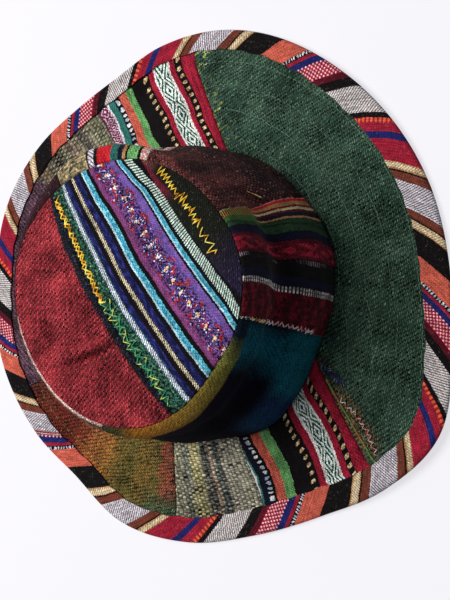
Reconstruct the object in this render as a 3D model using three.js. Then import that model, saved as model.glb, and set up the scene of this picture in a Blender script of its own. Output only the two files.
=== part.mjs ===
// Patchwork sun hat of hemp cloth, resting on the edge of its brim.
// Millimetres, +Z up, the surface it rests on at z = 0. +X points to the widest green patch of the brim.
import * as THREE from 'three';

// Driving dimensions of the cloth
const CLOTH = 2.0;             // two layers of hemp stitched together
const SEAM = 0.3;              // gap between two patches along their seam
const CROWN_SEAM = 0.5;        // gap between the brim and the crown that stands in it
const BINDING_CLOTH = 1.0;     // one layer of the folded edge band
const BINDING_WIDTH = 18;      // how far the band reaches in from the edge, above and below

// Driving dimensions of the form
const CROWN_BASE_HEIGHT = 22;          // top of the brim where it meets the crown
const SHOULDER_HEIGHT = 7;             // height of the rounded shoulder under the tip seam
const TIP_PUFF = 1.6;                  // rise of the tip just inside its seam
const TIP_DOME = 1.2;                  // further rise of the tip at its middle
const BRIM_FLAT = 20;                  // width of the edge that lies flat, under and beside the band
const BRIM_CURVE = 1.15;               // 1 is a straight cone, more curls up towards the crown
const BRIM_ARCH = 1.5;                 // middle of the slope above the line from crown to edge
const BASE_CENTRE = new THREE.Vector2(4, -5.4);
const TIP_CENTRE = new THREE.Vector2(-3.7, -4.3);

// Fineness of the mesh
const ARC_STEP = 4;                    // degrees between neighbouring rows of points
const BRIM_ROWS = 4;
const BRIM_SLOPE_SHARE = 0.8;          // share of a brim patch's points that lie on its slope
const WALL_ROWS = 7;
const SHOULDER_ROWS = 3;
const SHOULDER_START = 0.88;           // share of the wall's rise where the shoulder begins

// Edge of the brim: angle in degrees from +X, radius of the edge, height of its underside
const BRIM_EDGE = [
  { angle: 0, radius: 170.5, lift: 0 },
  { angle: 22, radius: 168.5, lift: 0 },
  { angle: 54, radius: 168, lift: 2 },
  { angle: 84, radius: 170, lift: 0 },
  { angle: 103, radius: 165.5, lift: 1 },
  { angle: 116, radius: 157.5, lift: 5 },
  { angle: 130, radius: 158.5, lift: 4 },
  { angle: 144, radius: 166, lift: 1 },
  { angle: 160, radius: 171.5, lift: 0 },
  { angle: 178, radius: 171.5, lift: 0 },
  { angle: 197, radius: 172.5, lift: 2 },
  { angle: 216, radius: 171, lift: 0 },
  { angle: 231, radius: 167, lift: 0 },
  { angle: 248, radius: 173, lift: 3 },
  { angle: 264, radius: 171.5, lift: 0 },
  { angle: 281, radius: 166.5, lift: 0 },
  { angle: 299, radius: 169, lift: 0 },
  { angle: 315, radius: 181, lift: 3 },
  { angle: 330, radius: 189, lift: 4 },
  { angle: 344, radius: 179, lift: 1 },
];

// Crown folds: radius of the tip seam and its height, radius at the brim, outward swell of the
// lower wall, inward crease at mid-height, and width of the rolled shoulder beside the tip seam
const CROWN_FOLDS = [
  { angle: 0, tip: 82.5, height: 109, base: 96, swell: 5, crease: 6, roll: 5 },
  { angle: 20, tip: 83.5, height: 109, base: 99, swell: 5, crease: 6, roll: 5 },
  { angle: 40, tip: 82.5, height: 109, base: 97, swell: 3, crease: 4, roll: 5 },
  { angle: 60, tip: 82, height: 109, base: 97, swell: 3, crease: 0, roll: 5 },
  { angle: 80, tip: 83, height: 109, base: 95.5, swell: 4, crease: 0, roll: 8 },
  { angle: 100, tip: 82, height: 108, base: 94.5, swell: 3, crease: 0, roll: 12 },
  { angle: 120, tip: 82, height: 107, base: 95, swell: 3, crease: 1, roll: 13 },
  { angle: 140, tip: 82.5, height: 106, base: 95, swell: 3, crease: 2, roll: 8 },
  { angle: 160, tip: 84, height: 106, base: 95, swell: 2, crease: 0, roll: 5 },
  { angle: 180, tip: 83, height: 106, base: 95, swell: 2, crease: 0, roll: 4 },
  { angle: 200, tip: 81.5, height: 106, base: 95, swell: 2, crease: 2, roll: 4 },
  { angle: 220, tip: 81, height: 107, base: 95, swell: 4, crease: 2, roll: 4 },
  { angle: 240, tip: 82.5, height: 108, base: 95, swell: 5, crease: 0, roll: 5 },
  { angle: 260, tip: 84, height: 108, base: 94.5, swell: 3, crease: 0, roll: 6 },
  { angle: 280, tip: 84, height: 108, base: 95.5, swell: 2, crease: 2, roll: 8 },
  { angle: 300, tip: 81.5, height: 108, base: 99, swell: 2, crease: 4, roll: 9 },
  { angle: 320, tip: 78.6, height: 109, base: 94.5, swell: 3, crease: 5, roll: 8 },
  { angle: 340, tip: 80.5, height: 109, base: 91.5, swell: 4, crease: 6, roll: 6 },
];

// Soft creases in the tip: the two ends from the tip's centre, depth and half width
const TIP_CREASES = [
  { x0: -41, y0: -48, x1: -1, y1: -33, depth: 3, width: 8 },
  { x0: -63, y0: -5, x1: -51, y1: -35, depth: 1.5, width: 7 },
];

// Seams across the tip: the angles where they meet its edge and how far they bow to the left
const TIP_SEAMS = {
  redToStriped: { start: 132.7, end: 293.9, bow: 6.8 },
  stripedToEmbroidered: { start: 81.5, end: 357.5, bow: 2 },
};

// Patches in order round the hat, with the angles where the seam before each one starts and ends
const SIDE_PATCHES = [
  { name: 'side_ribbed', base: 24.4, tip: 30, colour: 0x8d8a5c },
  { name: 'side_brown', base: 40, tip: 35.9, colour: 0x4d2f2b },
  { name: 'side_striped', base: 97, tip: 78.4, colour: 0x8c3a48 },
  { name: 'side_wine', base: 137, tip: 125, colour: 0x3c1d29 },
  { name: 'side_pale', base: 193, tip: 190, colour: 0xcbb4ae },
  { name: 'side_teal', base: 256, tip: 259, colour: 0x1c3f52 },
  { name: 'side_patterned', base: 342.7, tip: 348.9, colour: 0x6d1a2f },
];
const BRIM_PATCHES = [
  { name: 'brim_striped_back', inner: 78.4, outer: 97.6, colour: 0xa22c42 },
  { name: 'brim_tweed_back', inner: 120.4, outer: 122.6, colour: 0x6e6b52 },
  { name: 'brim_dark', inner: 148, outer: 151.5, colour: 0x2c2026 },
  { name: 'brim_dyed', inner: 205, outer: 206, colour: 0x8a6a2a },
  { name: 'brim_tweed_front', inner: 257, outer: 260.4, colour: 0x8e8666 },
  { name: 'brim_striped_front', inner: 286.3, outer: 285.5, colour: 0xa5303f },
  { name: 'brim_green', inner: 328.3, outer: 315.7, colour: 0x2e5a44 },
];
const TIP_COLOURS = { red: 0xa03a44, striped: 0x4b3f86, embroidered: 0x24301f };
const BINDING_COLOUR = 0xa8403c;

const radians = THREE.MathUtils.degToRad;
const degrees = THREE.MathUtils.radToDeg;
const lerp = THREE.MathUtils.lerp;
const clamp = THREE.MathUtils.clamp;
const turn = (angle) => THREE.MathUtils.euclideanModulo(angle, 360);
const direction = (angle) => new THREE.Vector2(Math.cos(radians(angle)), Math.sin(radians(angle)));

// One column of a table whose rows lie round the hat, blended smoothly between the rows
function around(table, column, angle) {
  const last = (table.findLastIndex((row) => row.angle <= turn(angle)) + table.length) % table.length;
  const row = (step) => table[(last + step + table.length) % table.length];
  const span = (from, to) => turn(row(to).angle - row(from).angle);
  const rise = (from, to) => row(to)[column] - row(from)[column];
  const t = turn(angle - row(0).angle) / span(0, 1);
  const slopeIn = rise(-1, 1) / span(-1, 1) * span(0, 1);
  const slopeOut = rise(0, 2) / span(0, 2) * span(0, 1);
  return row(0)[column]
    + slopeIn * t * (1 - t) ** 2
    + rise(0, 1) * t * t * (3 - 2 * t)
    - slopeOut * t * t * (1 - t);
}

// Smooth hump of height 1 at its centre, 0 beyond its half width
function hump(t, centre, halfWidth) {
  const reach = Math.min(Math.abs(t - centre) / halfWidth, 1);
  return Math.cos(reach * Math.PI / 2) ** 2;
}

// Solid patch between an outer and an inner skin, each a function of two shares from 0 to 1
function clothPatch(name, colour, acrossSteps, alongSteps, outerSkin, innerSkin) {
  const positions = [];
  const known = new Map();
  const faces = [];
  const vertex = (point) => {
    const key = point.toArray().map((value) => value.toFixed(4)).join(' ');
    if (!known.has(key)) {
      known.set(key, known.size);
      positions.push(point.x, point.y, point.z);
    }
    return known.get(key);
  };
  const triangle = (a, b, c) => {
    if (a !== b && b !== c && c !== a) faces.push(a, b, c);
  };
  const quad = (a, b, c, d) => {
    triangle(a, b, c);
    triangle(a, c, d);
  };
  const skin = (shape) => acrossSteps.map((u) => alongSteps.map((v) => vertex(shape(u, v))));
  const outer = skin(outerSkin);
  const inner = skin(innerSkin);
  const lastAcross = acrossSteps.length - 1;
  const lastAlong = alongSteps.length - 1;
  for (let i = 0; i < lastAcross; i += 1) {
    for (let j = 0; j < lastAlong; j += 1) {
      quad(outer[i][j], outer[i + 1][j], outer[i + 1][j + 1], outer[i][j + 1]);
      quad(inner[i][j], inner[i][j + 1], inner[i + 1][j + 1], inner[i + 1][j]);
    }
    quad(outer[i + 1][0], outer[i][0], inner[i][0], inner[i + 1][0]);
    quad(outer[i][lastAlong], outer[i + 1][lastAlong], inner[i + 1][lastAlong], inner[i][lastAlong]);
  }
  for (let j = 0; j < lastAlong; j += 1) {
    quad(outer[0][j], outer[0][j + 1], inner[0][j + 1], inner[0][j]);
    quad(outer[lastAcross][j + 1], outer[lastAcross][j], inner[lastAcross][j], inner[lastAcross][j + 1]);
  }
  return solid(name, colour, positions, faces);
}

// Ring whose closed section is a function of the angle round the hat
function clothRing(name, colour, angles, section) {
  const positions = [];
  const faces = [];
  const rings = angles.map((angle) => section(angle));
  const size = rings[0].length;
  rings.flat().forEach((point) => positions.push(point.x, point.y, point.z));
  angles.forEach((_, i) => {
    const here = i * size;
    const next = ((i + 1) % angles.length) * size;
    for (let j = 0; j < size; j += 1) {
      const k = (j + 1) % size;
      faces.push(here + j, next + j, next + k, here + j, next + k, here + k);
    }
  });
  return solid(name, colour, positions, faces);
}

// Closed mesh with its faces turned outward
function solid(name, colour, positions, faces) {
  const corner = (i) => new THREE.Vector3().fromArray(positions, faces[i] * 3);
  let volume = 0;
  for (let i = 0; i < faces.length; i += 3) {
    volume += corner(i).dot(corner(i + 1).cross(corner(i + 2)));
  }
  const geometry = new THREE.BufferGeometry();
  geometry.setAttribute('position', new THREE.Float32BufferAttribute(positions, 3));
  geometry.setIndex(volume < 0 ? faces.reverse() : faces);
  geometry.computeVertexNormals();
  const material = new THREE.MeshStandardMaterial({ color: colour, roughness: 0.95, metalness: 0 });
  const mesh = new THREE.Mesh(geometry, material);
  mesh.name = name;
  return mesh;
}

const shares = (count) => Array.from({ length: count + 1 }, (_, i) => i / count);
const stepsFor = (sweep) => shares(Math.max(2, Math.ceil(sweep / ARC_STEP)));

const brimRadius = (angle) => around(BRIM_EDGE, 'radius', angle);
const brimLift = (angle) => Math.max(around(BRIM_EDGE, 'lift', angle), 0);
const brimRing = (angle, inward) => direction(angle).multiplyScalar(brimRadius(angle) - inward);
const crownRing = (angle) => direction(angle)
  .multiplyScalar(around(CROWN_FOLDS, 'base', angle) + CROWN_SEAM)
  .add(BASE_CENTRE);

// Height of the brim's top at a point of the plan
function brimHeight(plan) {
  const angle = degrees(plan.angle());
  const crown = around(CROWN_FOLDS, 'base', angle) + BASE_CENTRE.dot(direction(angle));
  const edgeHeight = brimLift(angle) + BINDING_CLOTH + SEAM + CLOTH;
  const inward = brimRadius(angle) - plan.length();
  const slope = clamp((inward - BRIM_FLAT) / (brimRadius(angle) - crown - BRIM_FLAT), 0, 1);
  return lerp(edgeHeight, CROWN_BASE_HEIGHT, slope ** BRIM_CURVE) + BRIM_ARCH * Math.sin(Math.PI * slope);
}

// Patch of the brim between two seams: each runs from the crown to the band, then straight out
function brimPatch(patch, next) {
  const sweep = turn(next.outer - patch.outer);
  const innerSweep = turn(next.inner - patch.inner);
  const outerMargin = degrees(SEAM / 2 / (brimRadius(patch.outer) - BRIM_FLAT));
  const innerMargin = degrees(SEAM / 2 / around(CROWN_FOLDS, 'base', patch.inner));
  const plan = (u, v) => {
    const outerAngle = lerp(patch.outer + outerMargin, patch.outer + sweep - outerMargin, u);
    if (v > BRIM_SLOPE_SHARE) return brimRing(outerAngle, BRIM_FLAT * (1 - v) / (1 - BRIM_SLOPE_SHARE));
    const inner = crownRing(lerp(patch.inner + innerMargin, patch.inner + innerSweep - innerMargin, u));
    return inner.lerp(brimRing(outerAngle, BRIM_FLAT), v / BRIM_SLOPE_SHARE);
  };
  const top = (u, v) => {
    const at = plan(u, v);
    return new THREE.Vector3(at.x, at.y, brimHeight(at));
  };
  const under = (u, v) => top(u, v).sub(new THREE.Vector3(0, 0, CLOTH));
  const rows = [...shares(BRIM_ROWS).map((share) => share * BRIM_SLOPE_SHARE), 1];
  return clothPatch(patch.name, patch.colour, stepsFor(Math.max(sweep, innerSweep)), rows, top, under);
}

// Band folded over the edge of the brim, its two legs a seam's gap from the cloth between them
function brimBinding() {
  const leg = BINDING_WIDTH;
  const fold = SEAM + BINDING_CLOTH;
  const under = -CLOTH - SEAM;
  const profile = [
    { inward: leg, level: fold },
    { inward: 0.5, level: fold },
    { inward: -fold * 0.8, level: fold * 0.4 },
    { inward: -fold, level: -CLOTH / 2 },
    { inward: -fold * 0.8, level: under - BINDING_CLOTH * 0.5 },
    { inward: 0.5, level: under - BINDING_CLOTH },
    { inward: leg, level: under - BINDING_CLOTH },
    { inward: leg, level: under },
    { inward: -SEAM, level: under },
    { inward: -SEAM, level: SEAM },
    { inward: leg, level: SEAM },
  ];
  const angles = Array.from({ length: 360 / ARC_STEP }, (_, i) => i * ARC_STEP);
  const section = (angle) => profile.map(({ inward, level }) => {
    const at = brimRing(angle, inward);
    return new THREE.Vector3(at.x, at.y, brimHeight(brimRing(angle, 0)) + level);
  });
  return clothRing('brim_binding', BINDING_COLOUR, angles, section);
}

// Point of the crown's side: base and tip are the angles of one line up the wall, rise its share
// of the way up, and depth how far under the outer face
function sidePoint(baseAngle, tipAngle, rise, depth) {
  const fold = (column, angle) => around(CROWN_FOLDS, column, angle);
  const roll = fold('roll', tipAngle);
  const seamHeight = fold('height', tipAngle);
  const seamRadius = fold('tip', tipAngle) + SEAM / 2;
  if (rise >= SHOULDER_START) {
    const bend = Math.PI / 2 * (rise - SHOULDER_START) / (1 - SHOULDER_START);
    const normal = new THREE.Vector2(Math.cos(bend) / roll, Math.sin(bend) / SHOULDER_HEIGHT).normalize();
    const reach = seamRadius + roll * Math.cos(bend) - depth * normal.x;
    const at = direction(tipAngle).multiplyScalar(reach).add(TIP_CENTRE);
    const height = seamHeight - SHOULDER_HEIGHT * (1 - Math.sin(bend)) - depth * normal.y;
    return new THREE.Vector3(at.x, at.y, height);
  }
  const up = rise / SHOULDER_START;
  const angle = lerp(baseAngle, tipAngle, up);
  const low = direction(baseAngle).multiplyScalar(fold('base', baseAngle)).add(BASE_CENTRE);
  const high = direction(tipAngle).multiplyScalar(seamRadius + roll).add(TIP_CENTRE);
  const out = fold('swell', angle) * hump(up, 0.32, 0.32) - fold('crease', angle) * hump(up, 0.65, 0.2);
  const at = low.lerp(high, up).add(direction(angle).multiplyScalar(out - depth));
  return new THREE.Vector3(at.x, at.y, lerp(CROWN_BASE_HEIGHT - CLOTH, seamHeight - SHOULDER_HEIGHT, up));
}

// Patch of the crown's side between two seams
function sidePatch(patch, next) {
  const baseSweep = turn(next.base - patch.base);
  const tipSweep = turn(next.tip - patch.tip);
  const margin = degrees(SEAM / 2 / around(CROWN_FOLDS, 'tip', patch.tip));
  const wall = (depth) => (u, v) => sidePoint(
    patch.base + lerp(margin, baseSweep - margin, u),
    patch.tip + lerp(margin, tipSweep - margin, u),
    v,
    depth,
  );
  const rises = [
    ...shares(WALL_ROWS).map((share) => share * SHOULDER_START),
    ...shares(SHOULDER_ROWS).slice(1).map((share) => lerp(SHOULDER_START, 1, share)),
  ];
  return clothPatch(patch.name, patch.colour, stepsFor(baseSweep), rises, wall(0), wall(CLOTH));
}

// Height of the tip's top at a point of the plan, given from the tip's centre
function tipHeight(plan) {
  const angle = degrees(plan.angle());
  const out = plan.length() / around(CROWN_FOLDS, 'tip', angle);
  const heights = CROWN_FOLDS.map((row) => row.height);
  const middle = heights.reduce((sum, height) => sum + height, 0) / heights.length;
  const seam = lerp(middle, around(CROWN_FOLDS, 'height', angle), Math.min(out, 1) ** 2);
  const creases = TIP_CREASES.map((crease) => {
    const start = new THREE.Vector2(crease.x0, crease.y0);
    const line = new THREE.Vector2(crease.x1, crease.y1).sub(start);
    const from = plan.clone().sub(start);
    const along = from.dot(line) / line.lengthSq();
    const aside = from.cross(line) / line.length();
    return crease.depth * hump(along, 0.5, 0.75) * hump(aside, 0, crease.width);
  });
  const dent = creases.reduce((sum, depth) => sum + depth, 0);
  return seam + TIP_PUFF * (1 - out ** 10) + TIP_DOME * (1 - out ** 2) - dent;
}

const tipEdge = (angle) => direction(angle).multiplyScalar(around(CROWN_FOLDS, 'tip', angle) - SEAM / 2);

// Point of a seam across the tip, a share of the way along it and moved aside by half the gap
function tipSeamPoint(seam, share, aside) {
  const start = tipEdge(seam.start);
  const end = tipEdge(seam.end);
  const left = end.clone().sub(start).rotateAround(new THREE.Vector2(), -Math.PI / 2).normalize();
  const bow = seam.bow * 4 * share * (1 - share);
  return start.lerp(end, share).addScaledVector(left, bow + aside);
}

// Patch of the tip, its plan a function of two shares
function tipPatch(name, colour, acrossCount, alongCount, plan) {
  const top = (u, v) => {
    const at = plan(u, v);
    return new THREE.Vector3(at.x + TIP_CENTRE.x, at.y + TIP_CENTRE.y, tipHeight(at));
  };
  const under = (u, v) => top(u, v).sub(new THREE.Vector3(0, 0, CLOTH));
  return clothPatch(name, colour, shares(acrossCount), shares(alongCount), top, under);
}

function tipPatches() {
  const { redToStriped, stripedToEmbroidered } = TIP_SEAMS;
  const half = SEAM / 2;
  const red = (u, v) => {
    const seam = tipSeamPoint(redToStriped, u, half);
    return seam.lerp(tipEdge(lerp(redToStriped.start, redToStriped.end, u)), v);
  };
  const striped = (u, v) => tipSeamPoint({
    start: lerp(redToStriped.start, stripedToEmbroidered.start, v),
    end: lerp(redToStriped.end, stripedToEmbroidered.end, v),
    bow: lerp(redToStriped.bow, stripedToEmbroidered.bow, v),
  }, u, lerp(-half, half, v));
  const embroidered = (u, v) => {
    const seam = tipSeamPoint(stripedToEmbroidered, u, -half);
    return seam.lerp(tipEdge(lerp(stripedToEmbroidered.start, stripedToEmbroidered.end - 360, u)), v);
  };
  return [
    tipPatch('tip_red', TIP_COLOURS.red, 20, 8, red),
    tipPatch('tip_striped', TIP_COLOURS.striped, 18, 8, striped),
    tipPatch('tip_embroidered', TIP_COLOURS.embroidered, 14, 3, embroidered),
  ];
}

const following = (patches, i) => patches[(i + 1) % patches.length];

const hat = new THREE.Group();
hat.add(
  ...BRIM_PATCHES.map((patch, i) => brimPatch(patch, following(BRIM_PATCHES, i))),
  brimBinding(),
  ...SIDE_PATCHES.map((patch, i) => sidePatch(patch, following(SIDE_PATCHES, i))),
  ...tipPatches(),
);

// The origin is the middle of the hat's box, on the surface that it rests on
const box = new THREE.Box3().setFromObject(hat);
const middle = box.getCenter(new THREE.Vector3());
hat.position.set(-middle.x, -middle.y, -box.min.z);

export default hat;
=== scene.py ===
# %% [markdown]
# This lesson dresses a patchwork sun hat of hemp cloth. It is a round hat with a flat top, a slumped
# crown and a wide drooping brim, sewn from plain, dyed and striped patches, with a striped band
# folded over the edge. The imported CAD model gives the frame: where every patch lies. It could be
# shown as it is, but its walls are coarse, so each patch is made again here as finely woven cloth.

import bmesh
import bpy
import math
import numpy as np
from mathutils import Matrix, Vector, noise


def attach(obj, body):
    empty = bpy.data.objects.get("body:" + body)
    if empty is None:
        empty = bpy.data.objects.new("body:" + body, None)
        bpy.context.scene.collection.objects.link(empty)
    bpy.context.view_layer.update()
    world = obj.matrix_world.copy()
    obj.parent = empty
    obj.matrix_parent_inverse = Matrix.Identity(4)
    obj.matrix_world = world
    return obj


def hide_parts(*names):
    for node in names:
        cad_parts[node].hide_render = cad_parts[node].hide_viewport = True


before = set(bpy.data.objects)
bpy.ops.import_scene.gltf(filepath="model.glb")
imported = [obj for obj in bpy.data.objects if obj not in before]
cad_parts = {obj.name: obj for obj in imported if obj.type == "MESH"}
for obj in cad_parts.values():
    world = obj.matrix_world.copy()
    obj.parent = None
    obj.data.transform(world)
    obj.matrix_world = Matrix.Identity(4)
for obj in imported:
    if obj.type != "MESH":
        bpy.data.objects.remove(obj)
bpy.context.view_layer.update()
print("CAD nodes:", len(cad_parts))

# %% [markdown]
# The hat is photographed from high up and from its +X side, with a long lens. The camera could be
# turned by hand until the picture fits, but three numbers say it exactly: how steeply it looks
# down, how far away it stands, and the point that it looks at.

# %% Camera
MM = 0.001
CAMERA_ELEVATION = math.radians(62)
CAMERA_DISTANCE = 1300 * MM
CAMERA_TARGET = Vector((9.285, -8.480, 0)) * MM
LENS = 117

forward = Vector((-math.cos(CAMERA_ELEVATION), 0, -math.sin(CAMERA_ELEVATION)))
upward = Vector((0, 1, 0))
sideways = forward.cross(upward)
camera = bpy.data.objects.new("camera", bpy.data.cameras.new("camera"))
camera.data.lens = LENS
camera.data.clip_start = 0.05
camera.data.clip_end = 20
camera.matrix_world = Matrix.Translation(CAMERA_TARGET - forward * CAMERA_DISTANCE) @ Matrix(
    (sideways, upward, -forward)
).transposed().to_4x4()
bpy.context.scene.collection.objects.link(camera)
bpy.context.scene.camera = camera
print("camera at", [round(x, 3) for x in camera.location])

# %% [markdown]
# In a studio such a hat lies on a pale sheet under a large soft light. One lamp above its far
# side leaves the near wall of the crown dark, and the sheet and the room fill the shadows. The
# floor glows a little, because the real one is so bright that its shadow hardly shows.

# %% Floor, room and lamp
def linear(colour):
    """A colour picked as red, green and blue from 0 to 255, as the light it stands for"""
    light = [((c / 255 + 0.055) / 1.055) ** 2.4 if c > 10 else c / 255 / 12.92 for c in colour]
    return (*light, 1.0)


def lamp(name, place, size, power, colour):
    """A square soft light that points at the hat"""
    data = bpy.data.lights.new(name, "AREA")
    data.size = size
    data.energy = power
    data.color = linear(colour)[:3]
    light = bpy.data.objects.new(name, data)
    light.location = place
    light.rotation_euler = (Vector((0, 0, 0.05)) - Vector(place)).to_track_quat("-Z", "Y").to_euler()
    bpy.context.scene.collection.objects.link(light)


FLOOR_HALF_SIZE = 6
FLOOR_COLOUR = (118, 118, 122)
FLOOR_GLOW = (228, 227, 232)
ROOM_COLOUR = (250, 250, 255)

sheet_mesh = bmesh.new()
bmesh.ops.create_grid(sheet_mesh, x_segments=1, y_segments=1, size=FLOOR_HALF_SIZE)
floor_data = bpy.data.meshes.new("floor")
sheet_mesh.to_mesh(floor_data)
sheet_mesh.free()
floor = bpy.data.objects.new("floor", floor_data)
bpy.context.scene.collection.objects.link(floor)
paper = bpy.data.materials.new("pale paper")
paper.use_nodes = True
for socket, value in (
    ("Base Color", linear(FLOOR_COLOUR)), ("Roughness", 0.9), ("Specular IOR Level", 0.1),
    ("Emission Color", linear(FLOOR_GLOW)), ("Emission Strength", 0.9),
):
    paper.node_tree.nodes["Principled BSDF"].inputs[socket].default_value = value
floor_data.materials.append(paper)

room = bpy.data.worlds.new("room")
room.use_nodes = True
room_light = room.node_tree.nodes["Background"].inputs
room_light["Color"].default_value = linear(ROOM_COLOUR)
room_light["Strength"].default_value = 0.2
bpy.context.scene.world = room
lamp("soft_key", (-0.75, 0.25, 1.5), 1.0, 43, (255, 252, 246))
bpy.context.scene.view_settings.view_transform = "Standard"
print("floor, room and lamp ready")

# %% [markdown]
# A sewn hat is not round: its brim dips and its crown leans and creases. Its form is kept as two
# short tables, one row for each place round the hat where something changes, and is blended
# smoothly between the rows. They are the same values that the CAD model was made from.

# %% Tables of the form
SHIFT = complex(-0.515, 0.520)          # from the tables' middle to the middle of the hat's box
BASE_CENTRE = complex(4, -5.4)
TIP_CENTRE = complex(-3.7, -4.3)
CLOTH = 2.0
SEAM = 0.3
LAP = 0.15                              # how far cloth goes under its neighbour at a seam
CROWN_LAP = 0.5
BAND_CLOTH = 1.0
BAND_WIDTH = 18
CROWN_BASE_HEIGHT = 22
SHOULDER_HEIGHT = 7
SHOULDER_START = 0.88
TIP_PUFF = 1.6
TIP_DOME = 1.2
BRIM_FLAT = 20
BRIM_CURVE = 1.15
BRIM_ARCH = 1.5
BRIM_SLOPE_SHARE = 0.8                  # how much of a brim patch's length lies on the slope
# Height on the wall and half width, as shares of it
SWELL_BAND = (0.32, 0.32)
CREASE_BAND = (0.65, 0.2)

# Angle, radius of the edge, height of its underside
RADIUS, LIFT = 1, 2
BRIM_EDGE = [
    (0, 170.5, 0), (22, 168.5, 0), (54, 168, 2), (84, 170, 0), (103, 165.5, 1), (116, 157.5, 5),
    (130, 158.5, 4), (144, 166, 1), (160, 171.5, 0), (178, 171.5, 0), (197, 172.5, 2),
    (216, 171, 0), (231, 167, 0), (248, 173, 3), (264, 171.5, 0), (281, 166.5, 0), (299, 169, 0),
    (315, 181, 3), (330, 189, 4), (344, 179, 1),
]
# Angle, radius and height of the tip seam, radius at the brim, swell, crease, width of the roll
TIP, HEIGHT, BASE, SWELL, CREASE, ROLL = 1, 2, 3, 4, 5, 6
CROWN_FOLDS = [
    (0, 82.5, 109, 96, 5, 6, 5), (20, 83.5, 109, 99, 5, 6, 5), (40, 82.5, 109, 97, 3, 4, 5),
    (60, 82, 109, 97, 3, 0, 5), (80, 83, 109, 95.5, 4, 0, 8), (100, 82, 108, 94.5, 3, 0, 12),
    (120, 82, 107, 95, 3, 1, 13), (140, 82.5, 106, 95, 3, 2, 8), (160, 84, 106, 95, 2, 0, 5),
    (180, 83, 106, 95, 2, 0, 4), (200, 81.5, 106, 95, 2, 2, 4), (220, 81, 107, 95, 4, 2, 4),
    (240, 82.5, 108, 95, 5, 0, 5), (260, 84, 108, 94.5, 3, 0, 6), (280, 84, 108, 95.5, 2, 2, 8),
    (300, 81.5, 108, 99, 2, 4, 9), (320, 78.6, 109, 94.5, 3, 5, 8), (340, 80.5, 109, 91.5, 4, 6, 6),
]
# Two ends from the tip's centre, depth, half width
TIP_CREASES = [
    (complex(-41, -48), complex(-1, -33), 3, 8),
    (complex(-63, -5), complex(-51, -35), 1.5, 7),
]
# Angle where the seam starts and ends on the tip's edge, bow to the left
RED_SEAM = (132.7, 293.9, 6.8)
EMBROIDERED_SEAM = (81.5, 357.5, 2)
print("rows in the tables:", len(BRIM_EDGE) + len(CROWN_FOLDS))

# %% [markdown]
# A point of the plan is written as a complex number, because turning and scaling it is then a
# single product. These functions give the height or place of the cloth for whole arrays of
# points at once, which keeps the script quick with hundreds of thousands of them.

# %% Blending and small shapes
def around(rows, column, angle):
    """One column of a table that goes round the hat, blended smoothly between its rows"""
    angle = np.asarray(angle, float)
    turns = np.array([row[0] for row in rows], float)
    value = np.array([row[column] for row in rows], float)
    gap = (np.roll(turns, -1) - turns) % 360
    slope = (np.roll(value, -1) - np.roll(value, 1)) / (gap + np.roll(gap, 1))
    here = (np.searchsorted(turns, angle % 360, side="right") - 1) % len(rows)
    after = (here + 1) % len(rows)
    t = ((angle - turns[here]) % 360) / gap[here]
    return (
        value[here]
        + slope[here] * gap[here] * t * (1 - t) ** 2
        + (value[after] - value[here]) * t * t * (3 - 2 * t)
        - slope[after] * gap[here] * t * t * (1 - t)
    )


def blend(start, end, share):
    return start + (end - start) * share


def direction(angle):
    return np.exp(1j * np.radians(angle))


def turned(plan):
    """The angle of a point of the plan, in degrees"""
    return np.degrees(np.angle(plan))


def hump(t, centre, half_width):
    """A smooth hump, 1 at its centre and 0 beyond its half width"""
    reach = np.minimum(np.abs(t - centre) / half_width, 1)
    return np.cos(reach * np.pi / 2) ** 2


def points(plan, height):
    return np.stack([plan.real + SHIFT.real, plan.imag + SHIFT.imag, height], axis=1)


print("blend check:", round(float(around(BRIM_EDGE, RADIUS, 330)), 1))

# %% Height of the brim
def brim_edge(angle, inward=0):
    return direction(angle) * (around(BRIM_EDGE, RADIUS, angle) - inward)


def brim_height(plan):
    angle = turned(plan)
    radius = around(BRIM_EDGE, RADIUS, angle)
    crown = around(CROWN_FOLDS, BASE, angle) + (BASE_CENTRE * direction(angle).conj()).real
    edge = np.maximum(around(BRIM_EDGE, LIFT, angle), 0) + BAND_CLOTH + SEAM + CLOTH
    slope = np.clip((radius - abs(plan) - BRIM_FLAT) / (radius - crown - BRIM_FLAT), 0, 1)
    return blend(edge, CROWN_BASE_HEIGHT, slope**BRIM_CURVE) + BRIM_ARCH * np.sin(np.pi * slope)


def brim_plan(inner, outer, v):
    """A point of a brim patch: straight from the crown to the band, then straight out"""
    crown = BASE_CENTRE + direction(inner) * (around(CROWN_FOLDS, BASE, inner) - CROWN_LAP)
    slope = blend(crown, brim_edge(outer, BRIM_FLAT), np.minimum(v / BRIM_SLOPE_SHARE, 1))
    flat = brim_edge(outer, BRIM_FLAT * (1 - v) / (1 - BRIM_SLOPE_SHARE))
    return np.where(v > BRIM_SLOPE_SHARE, flat, slope)


print("brim beside the crown:", round(float(brim_height(np.array([101 + 0j]))[0]), 1), "mm up")


# %% Height of the tip and shape of the crown's side
def tip_height(plan):
    angle = turned(plan)
    out = abs(plan) / around(CROWN_FOLDS, TIP, angle)
    middle = np.mean([row[HEIGHT] for row in CROWN_FOLDS])
    seam = blend(middle, around(CROWN_FOLDS, HEIGHT, angle), np.minimum(out, 1) ** 2)
    dent = 0
    for start, end, depth, width in TIP_CREASES:
        line = (plan - start) / (end - start)
        dent = dent + depth * hump(line.real, 0.5, 0.75) * hump(line.imag * abs(end - start), 0, width)
    return seam + TIP_PUFF * (1 - out**10) + TIP_DOME * (1 - out**2) - dent


def tip_edge(angle):
    return direction(angle) * (around(CROWN_FOLDS, TIP, angle) + LAP)


def tip_seam(start, end, bow, share, aside):
    """A point of a seam across the tip, a share of the way along it, moved aside"""
    first = tip_edge(start)
    last = tip_edge(end)
    left = (last - first) * -1j / abs(last - first)
    return blend(first, last, share) + left * (bow * 4 * share * (1 - share) + aside)


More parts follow.
